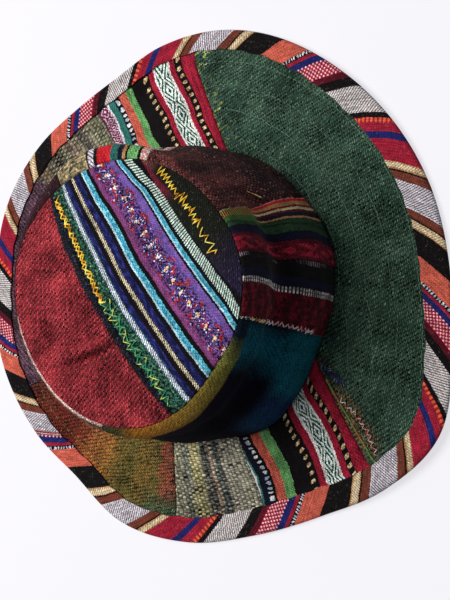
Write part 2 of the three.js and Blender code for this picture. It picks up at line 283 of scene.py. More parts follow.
def side_points(base_angle, tip_angle, rise):
    """Points of the crown's side: a creased wall below, a rolled shoulder above"""
    roll = around(CROWN_FOLDS, ROLL, tip_angle)
    seam_height = around(CROWN_FOLDS, HEIGHT, tip_angle)
    seam_radius = around(CROWN_FOLDS, TIP, tip_angle) - LAP
    bend = np.pi / 2 * np.clip((rise - SHOULDER_START) / (1 - SHOULDER_START), 0, 1)
    shoulder = TIP_CENTRE + direction(tip_angle) * (seam_radius + roll * np.cos(bend))
    shoulder_height = seam_height - SHOULDER_HEIGHT * (1 - np.sin(bend))
    up = np.minimum(rise / SHOULDER_START, 1)
    angle = blend(base_angle, tip_angle, up)
    low = BASE_CENTRE + direction(base_angle) * around(CROWN_FOLDS, BASE, base_angle)
    high = TIP_CENTRE + direction(tip_angle) * (seam_radius + roll)
    swell = around(CROWN_FOLDS, SWELL, angle) * hump(up, *SWELL_BAND)
    crease = around(CROWN_FOLDS, CREASE, angle) * hump(up, *CREASE_BAND)
    wall = blend(low, high, up) + direction(angle) * (swell - crease)
    wall_height = blend(CROWN_BASE_HEIGHT - CLOTH, seam_height - SHOULDER_HEIGHT, up)
    above = rise > SHOULDER_START
    return points(np.where(above, shoulder, wall), np.where(above, shoulder_height, wall_height))


print("tip height in the middle:", round(float(tip_height(np.array([0j]))[0]), 1))

# %% [markdown]
# Sewn cloth is never smooth. It dips into its seams, gathers beside them in small puckers, and
# swells softly between. A bump texture could fake this, but it would vanish at the outline, so
# the points of each patch are pushed along their normals, where the mesh keeps it.

# %% Relief of sewn cloth
SEAM_DIP = 0.9
SEAM_DIP_WIDTH = 3.0
PUCKER = 0.35
PUCKER_PITCH = 7.5
PUCKER_REACH = 7.0
SWELL_SIZE = 34
SWELL_DEPTH = 0.8
RUMPLE_SIZE = 11
RUMPLE_DEPTH = 0.22


def soft_noise(place, size, seed):
    """Smooth noise from about -1 to 1 at points in millimetres, with lumps of that size"""
    shifted = place / size + seed
    return np.array([noise.noise(Vector(point)) for point in shifted]) * 1.6


def sewn_relief(place, seam_distance, along_seam):
    """How far cloth stands out, from how far its nearest seam is and where it is along the seam"""
    near = np.clip(1 - seam_distance / SEAM_DIP_WIDTH, 0, 1)
    beside = np.exp(-seam_distance / PUCKER_REACH)
    gather = np.sin(2 * np.pi * along_seam / PUCKER_PITCH + 2.2 * soft_noise(place, 26, 3.7))
    return (
        SWELL_DEPTH * soft_noise(place, SWELL_SIZE, 0.3)
        + RUMPLE_DEPTH * soft_noise(place, RUMPLE_SIZE, 8.1)
        + PUCKER * beside * gather
        - SEAM_DIP * near**2
    )


print("soft swells about", SWELL_SIZE, "mm across")

# %% Folds
# Ends as shares of the way across and along the patch, depth, half width
FOLDS = {
    "tip_red": [(0.66, 0.0, 0.55, 0.95, 4.0, 2.8), (0.4, 0.5, 0.58, 0.9, 1.0, 4.5),
                (0.24, 0.55, 0.35, 0.95, 0.9, 4.0), (0.83, 0.35, 0.92, 0.75, 0.9, 3.5)],
    "side_brown": [(0.45, 0.95, 0.08, 0.55, 1.8, 4.0), (0.9, 0.9, 0.6, 0.45, 1.2, 5.0)],
    "side_patterned": [(0.86, 0.93, 0.8, 0.3, 1.4, 5.0), (0.3, 0.9, 0.38, 0.4, 1.2, 6.0)],
    "side_teal": [(0.75, 0.85, 0.8, 0.2, 1.4, 6.0), (0.4, 0.8, 0.5, 0.3, 1.2, 7.0)],
    "brim_green": [(0.2, 0.1, 0.27, 0.7, 0.8, 7.0), (0.55, 0.05, 0.5, 0.6, 0.8, 8.0)],
}


def folded(name, across, along, width, length):
    """How far a patch sinks into its folds and rises beside them"""
    place = across * width + 1j * along * length
    lift = np.zeros(len(across))
    for x1, y1, x2, y2, depth, half in FOLDS.get(name, []):
        start, end = complex(x1 * width, y1 * length), complex(x2 * width, y2 * length)
        line = (place - start) / (end - start)
        aside = line.imag * abs(end - start) / half
        profile = 0.4 * np.exp(-((abs(aside) - 1.8) ** 2)) - np.exp(-(aside**2))
        lift += depth * profile * hump(line.real, 0.5, 0.62)
    return lift


print("patches with folds:", len(FOLDS))

# %% [markdown]
# Every patch starts as a flat grid, like cloth on the loom. The grid's own places, from 0 to 1
# both ways, are kept as a map for stripes that fan out with the patch, and a second map in
# millimetres carries the weave. The same grid is then bent to the form and given two layers.

# %% Cloth from a flat grid
CELL = 1.6
LAYERS = 2.0
pieces = {}
surfaces = {}


def cloth_grid(name, columns, rows):
    """A flat grid of faces as a mesh, with the share of the way across and along of each point"""
    grid = bmesh.new()
    bmesh.ops.create_grid(grid, x_segments=columns, y_segments=rows, size=0.5)
    mesh = bpy.data.meshes.new(name + "_cloth")
    grid.to_mesh(mesh)
    grid.free()
    flat = np.zeros(len(mesh.vertices) * 3)
    mesh.vertices.foreach_get("co", flat)
    share = np.clip(flat.reshape(-1, 3)[:, :2] + 0.5, 0, 1)
    return mesh, share[:, 0], share[:, 1]


def set_places(mesh, place):
    mesh.vertices.foreach_set("co", (place * MM).astype(np.float32).ravel())
    mesh.update()


def add_maps(mesh, **maps):
    """Maps of the piece, each from a pair of values at every point"""
    corner = np.zeros(len(mesh.loops), np.int32)
    mesh.loops.foreach_get("vertex_index", corner)
    for name, pair in maps.items():
        values = np.stack(pair, axis=1)[corner].astype(np.float32)
        mesh.uv_layers.new(name=name).data.foreach_set("uv", values.ravel())


def normals_of(mesh):
    flat = np.zeros(len(mesh.vertices) * 3, np.float32)
    mesh.vertices.foreach_get("normal", flat)
    return flat.reshape(-1, 3).astype(float)


def face_up(mesh, where=slice(None)):
    """Turns the cloth over if it, or the given part of it, faces down"""
    if normals_of(mesh)[where, 2].mean() < 0:
        mesh.flip_normals()


def raise_cloth(name, mesh, place, lift, columns, rows):
    """Pushes the cloth along its normals and keeps its surface for what is sewn on later"""
    raised = place + normals_of(mesh) * lift[:, None]
    set_places(mesh, raised)
    shape = (rows + 1, columns + 1, 3)
    surfaces[name] = (raised.reshape(shape), normals_of(mesh).reshape(shape))


def on_cloth(name, across, along, lift=0):
    """A point of a patch, as shares of the way across and along it, and the way out of the cloth"""
    found = []
    for values in surfaces[name]:
        rows, columns = values.shape[0] - 1, values.shape[1] - 1
        x = min(max(across, 0), 1) * columns
        y = min(max(along, 0), 1) * rows
        i, j = min(int(x), columns - 1), min(int(y), rows - 1)
        low = blend(values[j, i], values[j, i + 1], x - i)
        high = blend(values[j + 1, i], values[j + 1, i + 1], x - i)
        found.append(blend(low, high, y - j))
    return found[0] + found[1] * lift, found[1]


def add_piece(name, mesh):
    """The mesh as a smooth piece of the hat"""
    mesh.polygons.foreach_set("use_smooth", np.ones(len(mesh.polygons), bool))
    piece = bpy.data.objects.new(name, mesh)
    bpy.context.scene.collection.objects.link(piece)
    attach(piece, "root")
    print(name, len(mesh.polygons), "faces")
    return piece


def thicken(piece, thickness):
    """Gives cloth its second layer, under the first"""
    wall = piece.modifiers.new("thickness", "SOLIDIFY")
    wall.thickness = thickness * MM
    wall.offset = -1


def finished_cloth(mesh, node, thickness=LAYERS):
    """The mesh as a piece with its thickness, in the place of its CAD node"""
    pieces[node] = add_piece(node + "_cloth", mesh)
    thicken(pieces[node], thickness)
    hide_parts(node)


def steps(length):
    return max(4, round(length / CELL))


print("cloth helpers ready, with cells of", CELL, "mm")

# %% [markdown]
# The brim is a ring of seven patches. Each is cut as a wide wedge and stretched over the slope,
# and rows of stitches run round it, which press shallow channels into the cloth. The channels
# follow the edge of the brim, so they are part of its relief.

# %% Brim patches
BRIM_PATCHES = [
    ("brim_striped_back", 78.0, 94.2, "stripe_cloth", 0),
    ("brim_tweed_back", 123.4, 125.4, "tweed_grey", -6),
    ("brim_dark", 148, 151.5, "hemp_dark", 0),
    ("brim_dyed", 205, 206, "hemp_dyed", 0),
    ("brim_tweed_front", 257, 260.4, "tweed_beige", 6),
    ("brim_striped_front", 286.3, 285.5, "stripe_cloth", 0),
    ("brim_green", 334, 315.7, "hemp_green", 53),
]
# Angle, width of the edge band on the top side
BAND_TOP = [
    (0, 18), (45, 17), (90, 11.5), (120, 11), (150, 13), (180, 13), (225, 14), (270, 16), (315, 17),
]
STITCH_ROW_PITCH = 16
STITCH_ROW_START = 20
STITCH_ROW_DEPTH = 0.45
BRIM_LENGTH = 72
BAND_EASE = 8                           # how far from the band the relief takes to reach its full depth
# How far the stripes of a patch have slipped aside, in shares of its width, at places along it
LEANS = {
    "brim_striped_front": [(0.08, -0.06), (0.23, -0.034), (0.37, -0.007), (0.5, 0.007), (0.66, 0),
                           (0.83, -0.02)],
    "brim_striped_back": [(0.2, 0.045), (0.28, 0.042), (0.5, 0), (0.83, -0.015)],
    "side_patterned": [(0.5, -0.03), (0.65, 0)],
    "tip_striped": [(0, -0.087), (0.1, -0.035), (0.2, 0.018), (0.3, 0.021), (0.5, 0), (0.7, -0.009),
                    (0.9, -0.018), (1, -0.056)],
}
# How much wider than its figured stripes a patch is at its outer edge, in shares of their width
SPREADS = {"brim_striped_back": 0.136}


def leaned(name, across, along):
    """The share of the way across a patch, put right for stripes that have slipped"""
    spread = SPREADS.get(name, 0) * np.minimum(along / BRIM_SLOPE_SHARE, 1)
    across = across - spread * (1 - across)
    if name not in LEANS:
        return across
    place, shift = np.array(LEANS[name]).T
    step = np.interp(along, place, np.arange(len(place)))
    whole = np.floor(step)
    eased = whole + (step - whole) ** 2 * (3 - 2 * (step - whole))
    slipped = np.interp(eased, np.arange(len(place)), shift)
    return across - slipped * (across**1.2 if name == "tip_striped" else 1)


def between_seams(first, last, radius, share):
    """The angle a share of the way from one seam to the next, with its lap over both"""
    sweep = (last - first) % 360
    lap = math.degrees(LAP / radius)
    return first + blend(-lap, sweep + lap, share), sweep


def band_top(angle):
    return around(BAND_TOP, 1, angle)


def brim_patch(name, inner, outer, slot, grain, next_inner, next_outer):
    radius = float(around(BRIM_EDGE, RADIUS, outer)) - BRIM_FLAT
    crown = float(around(CROWN_FOLDS, BASE, inner))
    width = math.radians((next_outer - outer) % 360) * radius
    columns, rows = steps(width), steps(BRIM_LENGTH)
    mesh, u, v = cloth_grid(name, columns, rows)
    outer_angle, sweep = between_seams(outer, next_outer, radius, u)
    inner_angle, _ = between_seams(inner, next_inner, crown, u)
    plan = brim_plan(inner_angle, outer_angle, v)
    place = points(plan, brim_height(plan))
    set_places(mesh, place)
    mesh.flip_normals()
    inward = around(BRIM_EDGE, RADIUS, turned(plan)) - abs(plan)
    from_crown = v * BRIM_LENGTH
    aside = np.minimum(u, 1 - u) * width
    seam = np.minimum(aside, from_crown * 1.5)
    along = np.where(aside < from_crown * 1.5, inward, np.radians(turned(plan)) * abs(plan))
    stitched = np.cos(np.pi * (inward - STITCH_ROW_START) / STITCH_ROW_PITCH) ** 16
    band = band_top(turned(plan))
    free = np.clip((inward - band) / BAND_EASE, 0, 1)
    stand = sewn_relief(place, seam, along) - STITCH_ROW_DEPTH * stitched
    stand = stand + folded(name, u, v, width, BRIM_LENGTH)
    lift = np.where(inward > band, stand * free, -SEAM_DIP * 0.3)
    raise_cloth(name, mesh, place, lift, columns, rows)
    flat = plan * direction(-(outer + sweep / 2 + grain))
    stripe = (u * width, from_crown)
    add_maps(mesh, share=(leaned(name, u, v), v), cloth=(-flat.imag, flat.real), stripe=stripe)
    finished_cloth(mesh, name)


for patch, following in zip(BRIM_PATCHES, BRIM_PATCHES[1:] + BRIM_PATCHES[:1]):
    brim_patch(*patch, following[1], following[2])

# %% [markdown]
# The crown's side is a wall of seven patches that bulges low down, creases at mid-height and
# rolls over into the tip at the shoulder. It could be one tube cut by colour, but real seams
# part the cloth, so each patch is its own grid and dips where it meets the next.

# %% Crown side patches
SIDE_PATCHES = [
    ("side_ribbed", 24.4, 30, "rib_weave"),
    ("side_brown", 40, 35.9, "hemp_brown"),
    ("side_striped", 97, 78.4, "stripe_side"),
    ("side_wine", 137, 125, "hemp_wine"),
    ("side_pale", 193, 190, "hemp_pale"),
    ("side_teal", 256, 259, "hemp_teal"),
    ("side_patterned", 342.7, 348.9, "figured_weave"),
]
WALL_LENGTH = 98
WALL_FULLNESS = 1.1                     # how much wider the wall is than the tip's edge
FOOT_EASE = 12                          # how fast the relief starts above the brim


def side_patch(name, base, tip, slot, next_base, next_tip):
    radius = float(around(CROWN_FOLDS, TIP, tip))
    width = math.radians((next_base - base) % 360) * radius * WALL_FULLNESS
    columns, rows = steps(width), steps(WALL_LENGTH)
    mesh, u, v = cloth_grid(name, columns, rows)
    base_angle, _ = between_seams(base, next_base, radius, u)
    tip_angle, _ = between_seams(tip, next_tip, radius, u)
    place = side_points(base_angle, tip_angle, v)
    set_places(mesh, place)
    aside = np.minimum(u, 1 - u) * width
    to_tip = (1 - v) * WALL_LENGTH
    seam = np.minimum(aside, to_tip)
    along = np.where(aside < to_tip, v * WALL_LENGTH, u * width)
    lift = sewn_relief(place, seam, along) + folded(name, u, v, width, WALL_LENGTH)
    raise_cloth(name, mesh, place, lift * np.clip(v * FOOT_EASE, 0, 1), columns, rows)
    flat = (u * width, v * WALL_LENGTH)
    add_maps(mesh, share=(leaned(name, u, v), v), cloth=flat, stripe=flat)
    finished_cloth(mesh, name)


for patch, following in zip(SIDE_PATCHES, SIDE_PATCHES[1:] + SIDE_PATCHES[:1]):
    side_patch(*patch, following[1], following[2])

# %% [markdown]
# The tip is the round top of the crown. Two bowed seams part it into a red panel, a striped band
# and an embroidered panel. The striped band keeps its stripes in line with both seams, so its
# grid is blended from one seam to the other.

# %% Tip patches
TIP_LENGTH = 165
RED_WIDTH = 70
STRIPED_WIDTH = 80
EMBROIDERED_WIDTH = 26


def tip_patch(name, width, plan_of, columns, rows):
    mesh, u, v = cloth_grid(name, columns, rows)
    plan = plan_of(u, v)
    place = points(plan + TIP_CENTRE, tip_height(plan))
    set_places(mesh, place)
    face_up(mesh)
    rim = around(CROWN_FOLDS, TIP, turned(plan)) - abs(plan)
    seams = [tip_seam(*line, np.linspace(0, 1, 120), 0) for line in (RED_SEAM, EMBROIDERED_SEAM)]
    across = np.min([abs(plan[:, None] - line).min(axis=1) for line in seams], axis=0)
    seam = np.minimum(rim, across)
    along = np.where(rim < across, np.radians(turned(plan)) * abs(plan), u * TIP_LENGTH)
    lift = sewn_relief(place, seam, along) + folded(name, u, v, TIP_LENGTH, width)
    raise_cloth(name, mesh, place, lift * np.clip(seam, 0.3, 1), columns, rows)
    stripe = (v * width, u * TIP_LENGTH)
    add_maps(mesh, share=(leaned(name, v, u), u), cloth=(plan.real, plan.imag), stripe=stripe)
    finished_cloth(mesh, name)


def red_plan(u, v):
    seam = tip_seam(*RED_SEAM, u, -LAP)
    return blend(seam, tip_edge(blend(RED_SEAM[0], RED_SEAM[1], u)), v)


def striped_plan(u, v):
    start, end, bow = (blend(a, b, v) for a, b in zip(RED_SEAM, EMBROIDERED_SEAM))
    return tip_seam(start, end, bow, u, blend(LAP, -LAP, v))


def embroidered_plan(u, v):
    seam = tip_seam(*EMBROIDERED_SEAM, u, LAP)
    return blend(seam, tip_edge(blend(EMBROIDERED_SEAM[0], EMBROIDERED_SEAM[1] - 360, u)), v)


tip_patch("tip_red", RED_WIDTH, red_plan, 120, 56)
tip_patch("tip_striped", STRIPED_WIDTH, striped_plan, 116, 60)
tip_patch("tip_embroidered", EMBROIDERED_WIDTH, embroidered_plan, 84, 22)

# %% [markdown]
# A striped band, cut on the slant so that it stretches round the curve, is folded over the edge
# of the brim and sewn down. Its section is a hairpin: in along the top, round the edge and back
# below. A grid goes round the hat and its two ends are merged into a closed ring.

# %% Edge band
# Share of the hairpin, place inward from the edge, height from the brim's top
BAND_SECTION = [
    (0, BAND_WIDTH, 1.0), (0.04, 17.2, 1.3), (0.44, 0.8, 1.3), (0.47, -0.6, 0.9), (0.5, -1.3, -1.0),
    (0.53, -0.6, -2.9), (0.56, 0.8, -3.3), (1, BAND_WIDTH, -3.3),
]
BAND_ROWS = 34
BAND_COLUMNS = 660
RING_PLACES = 2161                      # places on the edge that its length is measured with
TOP_SIDE_ENDS = 0.44                    # the section's share where the top side meets the round
ROUND_REACH = 0.8                       # how far in from the edge that is


def edge_band():
    mesh, u, v = cloth_grid("brim_binding", BAND_COLUMNS, BAND_ROWS)
    shares, inward, level = np.array(BAND_SECTION).T
    angle = 360 * u
    narrowed = (band_top(angle) - ROUND_REACH) / (BAND_WIDTH - ROUND_REACH)
    fit = np.where(v < TOP_SIDE_ENDS, narrowed, 1)
    reach = ROUND_REACH + (np.interp(v, shares, inward) - ROUND_REACH) * fit
    ripple = 0.5 * np.sin(np.radians(angle) * 61) + 0.4 * np.sin(np.radians(angle) * 37 + 1)
    top = np.clip((TOP_SIDE_ENDS - v) / 0.3, 0, 1)
    plan = brim_edge(angle, reach + ripple * np.clip(0.08 - v, 0, 0.08) * 8)
    height = brim_height(brim_edge(angle)) + np.interp(v, shares, level)
    place = points(plan, height)
    ring = np.linspace(0, 360, RING_PLACES)
    walked = np.concatenate([[0], np.cumsum(abs(np.diff(brim_edge(ring))))])
    set_places(mesh, place)
    face_up(mesh, v < 0.4)
    stand = 0.35 * soft_noise(place, 9, 5.5) * top + 0.25 * soft_noise(place, 25, 1.5) * (v < 0.5)
    lift = np.maximum(stand, -0.15) * hump(v, 0.25, 0.24)
    raise_cloth("brim_binding", mesh, place, lift, BAND_COLUMNS, BAND_ROWS)
    section = np.concatenate([[0], np.cumsum(np.hypot(np.diff(inward), np.diff(level)))])
    over = np.interp(v, shares, section) + np.interp(v, shares, inward) - reach
    clockwise = walked[-1] - np.interp(angle, ring, walked)
    slanted = (clockwise - over, clockwise + over)
    add_maps(mesh, share=(u, v), cloth=(clockwise, over), stripe=slanted)
    made = bmesh.new()
    made.from_mesh(mesh)
    bmesh.ops.remove_doubles(made, verts=made.verts, dist=0.05 * MM)
    made.to_mesh(mesh)
    made.free()
    finished_cloth(mesh, "brim_binding", BAND_CLOTH * 0.9)
    return walked[-1]


BAND_AROUND = edge_band()
print("length of the edge:", round(BAND_AROUND), "mm")

# %% [markdown]
# Coloured embroidery yarn runs in zigzags over two seams of the tip, and rows of plain stitches
# hold the layers of the brim together. A drawn-on line would look flat, so each stitch is a round
# cord that starts and ends in the cloth and stands a little proud between.

# %% Yarn
YARN = 0.42
WALK_STEPS = 60                         # places looked up between two stops of a line
CORNER_HEIGHT = 0.15                    # of a zigzag, above the cloth
MIDDLE_HEIGHT = 0.75
STITCH_HEIGHT = 0.4
STITCH_SWAY = 0.35                      # how far a running stitch strays to the side


def walk(name, stops, step):
    """Even steps along a line on a patch: places, ways out of the cloth and ways forward"""
    stops = np.array(stops, float)
    number = WALK_STEPS * (len(stops) - 1) + 1
    share = np.linspace(0, len(stops) - 1, number)
    line = [np.interp(share, np.arange(len(stops)), column) for column in stops.T]
    found = [on_cloth(name, a, b) for a, b in zip(*line)]
    place = np.array([p for p, _ in found])
    out = np.array([n for _, n in found])
    length = np.concatenate([[0], np.cumsum(np.linalg.norm(np.diff(place, axis=0), axis=1))])
    at = np.arange(0, length[-1], step)
    place = np.stack([np.interp(at, length, column) for column in place.T], axis=1)
    out = np.stack([np.interp(at, length, column) for column in out.T], axis=1)
    ahead = np.gradient(place, axis=0)
    return place, out, ahead / np.linalg.norm(ahead, axis=1)[:, None]


def uneven(number, seed):
    """Small steady irregularities, one for each stitch"""
    return np.array([noise.noise(Vector((i * 1.37, seed, 0.5))) for i in range(number)])


def zigzag(name, stops, pitch, reach, seed=1.0, wild=1.0):
    """One yarn that crosses a line from side to side, its corners sewn into the cloth"""
    place, out, ahead = walk(name, stops, pitch / 2)
    side = np.cross(out, ahead)
    turns = 1 - 2 * (np.arange(len(place)) % 2)
    swing = reach * (1 + 0.6 * wild * uneven(len(place), seed)) * turns
    shift = pitch * 0.4 * wild * uneven(len(place), seed + 5)
    corners = place + side * swing[:, None] + ahead * shift[:, None]
    middles = (corners[:-1] + corners[1:]) / 2 + out[1:] * MIDDLE_HEIGHT
    line = np.empty((len(corners) * 2 - 1, 3))
    line[0::2] = corners + out * CORNER_HEIGHT
    line[1::2] = middles
    return [line]


def running(name, stops, pitch, length, seed=1.0):
    """A row of separate straight stitches"""
    place, out, ahead = walk(name, stops, pitch)
    side = np.cross(out, ahead) * (STITCH_SWAY * uneven(len(place), seed))[:, None]
    half = ahead * (length / 2 * (1 + 0.4 * uneven(len(place), seed + 3)))[:, None]
    middle = place + side
    lifted = middle + out * STITCH_HEIGHT
    lines = np.stack([middle - half, lifted - half * 0.5, lifted + half * 0.5, middle + half], axis=1)
    return list(lines)


def sew(name, lines, thickness=YARN):
    """Yarn along the lines, as one piece"""
    drawn = bpy.data.curves.new(name, "CURVE")
    drawn.dimensions = "3D"
    drawn.bevel_depth = thickness * MM
    drawn.bevel_resolution = 1
    drawn.use_fill_caps = True
    for line in lines:
        spline = drawn.splines.new("POLY")
        spline.points.add(len(line) - 1)
        places = np.c_[line * MM, np.ones(len(line))].astype(np.float32)
        spline.points.foreach_set("co", places.ravel())
    helper = bpy.data.objects.new(name + "_path", drawn)
    mesh = bpy.data.meshes.new_from_object(helper)
    mesh.name = name
    bpy.data.objects.remove(helper)
    pieces[name] = add_piece(name, mesh)


print("yarn is", 2 * YARN, "mm thick")

# %% Embroidery of the tip
GOLD_LINE = [(0.03, 0.065), (0.2, 0.08), (0.5, 0.06)]
GOLD_PANEL_LINE = [(0.13, 0.75), (0.2, 0.55), (0.3, 0.45), (0.4, 0.45), (0.5, 0.38), (0.54, 0.36)]
sew("yarn_gold_band",
    zigzag("tip_striped", GOLD_LINE, 6.6, 1.9, 1.0) + zigzag("tip_striped", GOLD_LINE, 6.6, -1.9, 9.0), 0.6)
sew("yarn_green_band",
    zigzag("tip_striped", [(0.48, 0.06), (0.7, 0.07), (0.97, 0.06)], 5.4, 2.2, 2.0, 1.8)
    + zigzag("tip_striped", [(0.5, 0.1), (0.7, 0.1), (0.9, 0.08)], 7.4, 2.0, 12.0, 1.8))
sew("yarn_gold_panel",
    zigzag("tip_embroidered", GOLD_PANEL_LINE, 3.0, 2.6, 3.0, 1.6)
    + zigzag("tip_embroidered", [(0.56, 0.35), (0.64, 0.32), (0.74, 0.33)], 5.2, 2.9, 4.0, 2.0))

# %% Stitches of the crown's side and the brim
sew("yarn_white_side",
    zigzag("side_patterned", [(0.02, 0.62), (0.03, 0.4), (0.03, 0.2)], 3.6, 1.6, 5.0))
sew("yarn_tan_side",
    zigzag("side_patterned", [(0.02, 0.86), (0.02, 0.7)], 3.4, 1.2, 6.0), 0.35)
loose, off_cloth, _ = walk("side_brown", [(0.16, 0.535), (0.1, 0.49), (0.05, 0.466)], 1.5)
sew("yarn_tan_brown", [loose + off_cloth * 0.45], 0.35)
sew("yarn_white_brim",
    zigzag("brim_green", [(0.015, 0.35), (0.03, 0.5), (0.03, 0.65), (0.02, 0.8)], 4.4, 1.4, 7.0), 0.35)
sew("yarn_blue_brim",
    zigzag("brim_green", [(0.015, 0.1), (0.03, 0.2), (0.05, 0.33)], 4.2, 2.2, 11.0, 1.6)
    + zigzag("brim_green", [(0.03, 0.12), (0.05, 0.3)], 5.2, 1.8, 14.0, 1.6), 0.4)
sew("yarn_green_brim",
    running("brim_green", [(0.008, 0.2), (0.012, 0.45), (0.012, 0.7), (0.012, 0.93)], 3.6, 3.9, 8.0), 0.7)


def brim_share(name, angle, inward):
    """The shares across and along a brim patch of a place at an angle and distance from the edge"""
    place = surfaces[name][0]
    target = brim_edge(angle, inward) + SHIFT
    off = abs(place[:, :, 0] + 1j * place[:, :, 1] - target)
    j, i = np.unravel_index(off.argmin(), off.shape)
    return i / (place.shape[1] - 1), j / (place.shape[0] - 1), off.min()


def brim_rows(name, start, end, inwards):
    """Rows of running stitches that follow the edge of the brim across one patch"""
    lines = []
    for row, inward in enumerate(inwards):
        stops = [brim_share(name, angle, inward) for angle in np.arange(start, end, 3)]
        stops = [(u, v) for u, v, off in stops if off < 1.5 and 0.02 < u < 0.98 and v > 0.03]
        lines += running(name, stops, 4.2, 2.7, row)
    return lines


sew("stitch_rows_green", brim_rows("brim_green", -44, 100, (20, 36, 52, 68)), 0.3)
sew("stitch_rows_dark", brim_rows("brim_dark", 150, 206, (20, 36, 52)), 0.3)
sew("stitch_rows_dyed", brim_rows("brim_dyed", 206, 261, (20, 36, 52)), 0.3)

# %% [markdown]
# Beside the red panel the striped band ends in a raw edge, which has frayed into a dark ragged
# strip with loose hairs. The strip is a narrow grid laid on the cloth below it, its two edges
# moved in and out by noise, and the hairs are short thin yarns that start in it.

# %% Frayed edge of the tip
FRAY_COLUMNS = 150
FRAY_ROWS = 4
HAIRS = 110
GOLDEN_SHARE = 0.618                    # steps of it spread the hairs evenly without a pattern
# Share of the way along the seam, reach over the red panel and over the striped band
FRAY_REACH = [(0, 3.5, 4.5), (0.2, 4.5, 4.5), (0.35, 3, 4), (0.5, 2, 3.5), (1, 1.6, 3.2)]


def on_tip(share, aside):
    """A place near the red seam, to the side of it, on whichever patch lies there"""
    if aside > 0:
        return on_cloth("tip_red", share, aside / RED_WIDTH)
    return on_cloth("tip_striped", share, -aside / STRIPED_WIDTH)


def fray():
    """The ragged strip along the seam"""
    mesh, u, v = cloth_grid("fray", FRAY_COLUMNS, FRAY_ROWS)
    places, red, band = np.array(FRAY_REACH).T
    ragged = [np.array([noise.noise(Vector((x * 42, 3.3 * k, 1))) for x in u]) for k in (1, 2)]
    over_red = np.interp(u, places, red) * (1 + 0.7 * ragged[0])
    over_band = np.interp(u, places, band) * (1 + 0.3 * ragged[1])
    aside = blend(-over_band, over_red, v)
    share = 0.02 + 0.96 * u
    found = [on_tip(s, a) for s, a in zip(share, aside)]
    place = np.array([p for p, _ in found])
    set_places(mesh, place)
    face_up(mesh)
    raise_cloth("frayed_edge", mesh, place, 0.35 + 0.45 * np.sin(np.pi * v), FRAY_COLUMNS, FRAY_ROWS)
    along = u * TIP_LENGTH
    add_maps(mesh, share=(v, u), cloth=(along, aside), stripe=(aside, along))
    pieces["frayed_edge"] = add_piece("frayed_edge", mesh)
    thicken(pieces["frayed_edge"], 0.6)


def hair(number):
    """A loose hair: a line from the band over the strip, its end bent down to the red panel"""
    at = 0.02 + 0.95 * ((number * GOLDEN_SHARE) % 1)
    lean = 0.012 * math.sin(number * 2.4)
    places, red, _ = np.array(FRAY_REACH).T
    reach = np.interp(at, places, red)
    end = reach + 0.8 + 1.2 * math.sin(number * 1.7) ** 2
    stops = [(at, -1.5, 0.9), (at + lean * 0.5, reach * 0.6, 0.9), (at + lean, end, 0.25)]
    line = []
    for share, aside, height in stops:
        place, out = on_tip(share, aside)
        line.append(place + out * height)
    return np.array(line)


fray()
sew("frayed_hairs", [hair(number) for number in range(HAIRS)], 0.22)

# %% [markdown]
# Cloth materials are mostly the same few effects put together, and each effect is a chain of
# small nodes. The chains could be wired link by link, but they read better as sums. So the output
# of a node is wrapped here, and plain arithmetic on it adds the next node to the tree.

# %% Wires that add nodes
tree = None                             # the node tree that is being wired


class Wire:
    """The output of a node, on which arithmetic adds a Math node"""

    def __init__(self, socket):
        self.socket = socket

    def __add__(self, other):
        return sums("ADD", self, other)

    def __sub__(self, other):
        return sums("SUBTRACT", self, other)

    def __rsub__(self, other):
        return sums("SUBTRACT", other, self)

    def __mul__(self, other):
        return sums("MULTIPLY", self, other)

    def __truediv__(self, other):
        return sums("DIVIDE", self, other)

    def __abs__(self):
        return sums("ABSOLUTE", self)


def feed(sockets, values):
    """Links each value to its socket, or sets the socket to it, by name or by number"""
    for key, value in values.items():
        if isinstance(value, Wire):
            tree.links.new(value.socket, sockets[key])
        elif value is not None:
            sockets[key].default_value = value


def node(kind, inputs=(), output=0, **settings):
    """An output of a new node, whose inputs are fed in order or by name"""
    made = tree.nodes.new("ShaderNode" + kind)
    for name, value in settings.items():
        setattr(made, name, value)
    feed(made.inputs, inputs if isinstance(inputs, dict) else dict(enumerate(inputs)))
    return Wire(made.outputs[output])


def sums(operation, *values):
    return node("Math", values, operation=operation)


print("wires ready")

# %% Short names for common nodes
def vector_of(place):
    """A map of the piece by its name, or a vector as it is"""
    return node("UVMap", uv_map=place) if isinstance(place, str) else place


def parts(place):
    """The first two parts of a map or vector"""
    first = node("SeparateXYZ", [vector_of(place)])
    return first, Wire(first.socket.node.outputs[1])


def stretched(place, x, y):
    return node("Mapping", [vector_of(place), None, None, (x, y, 1)])


def clouds(place, scale, detail=2.0, output="Fac"):
    """Smooth noise over a map or vector"""
    return node("TexNoise", {"Vector": vector_of(place), "Scale": scale, "Detail": detail}, output)


def smooth(value, low, high, first=0.0, last=1.0):
    """The value brought from the range low to high to the range first to last"""
    return node("MapRange", [value, low, high, first, last], interpolation_type="SMOOTHSTEP")


def off_middle(value, pitch):
    """How far a place is from the middle of its repeat, from 0 to a half"""
    return abs(sums("FRACT", value / pitch) - 0.5)


def mix(share, first, second):
    """Two colours blended, each wired or picked as red, green and blue from 0 to 255"""
    first, second = (linear(c) if isinstance(c, tuple) else c for c in (first, second))
    return node("Mix", {0: share, 6: first, 7: second}, output=2, data_type="RGBA")


def scaled(colour, factor):
    return node("VectorMath", {0: colour, "Scale": factor}, operation="SCALE")


def ramp(value, stops, interpolation="LINEAR"):
    """Colours at places along a value from 0 to 1"""
    made = node("ValToRGB", [value])
    band = made.socket.node.color_ramp
    band.interpolation = interpolation
    while len(band.elements) > 1:
        band.elements.remove(band.elements[-1])
    for i, (position, colour) in enumerate(stops):
        element = band.elements[0] if i == 0 else band.elements.new(position)
        element.position = position
        element.color = colour if len(colour) == 4 else linear(colour)
    return made


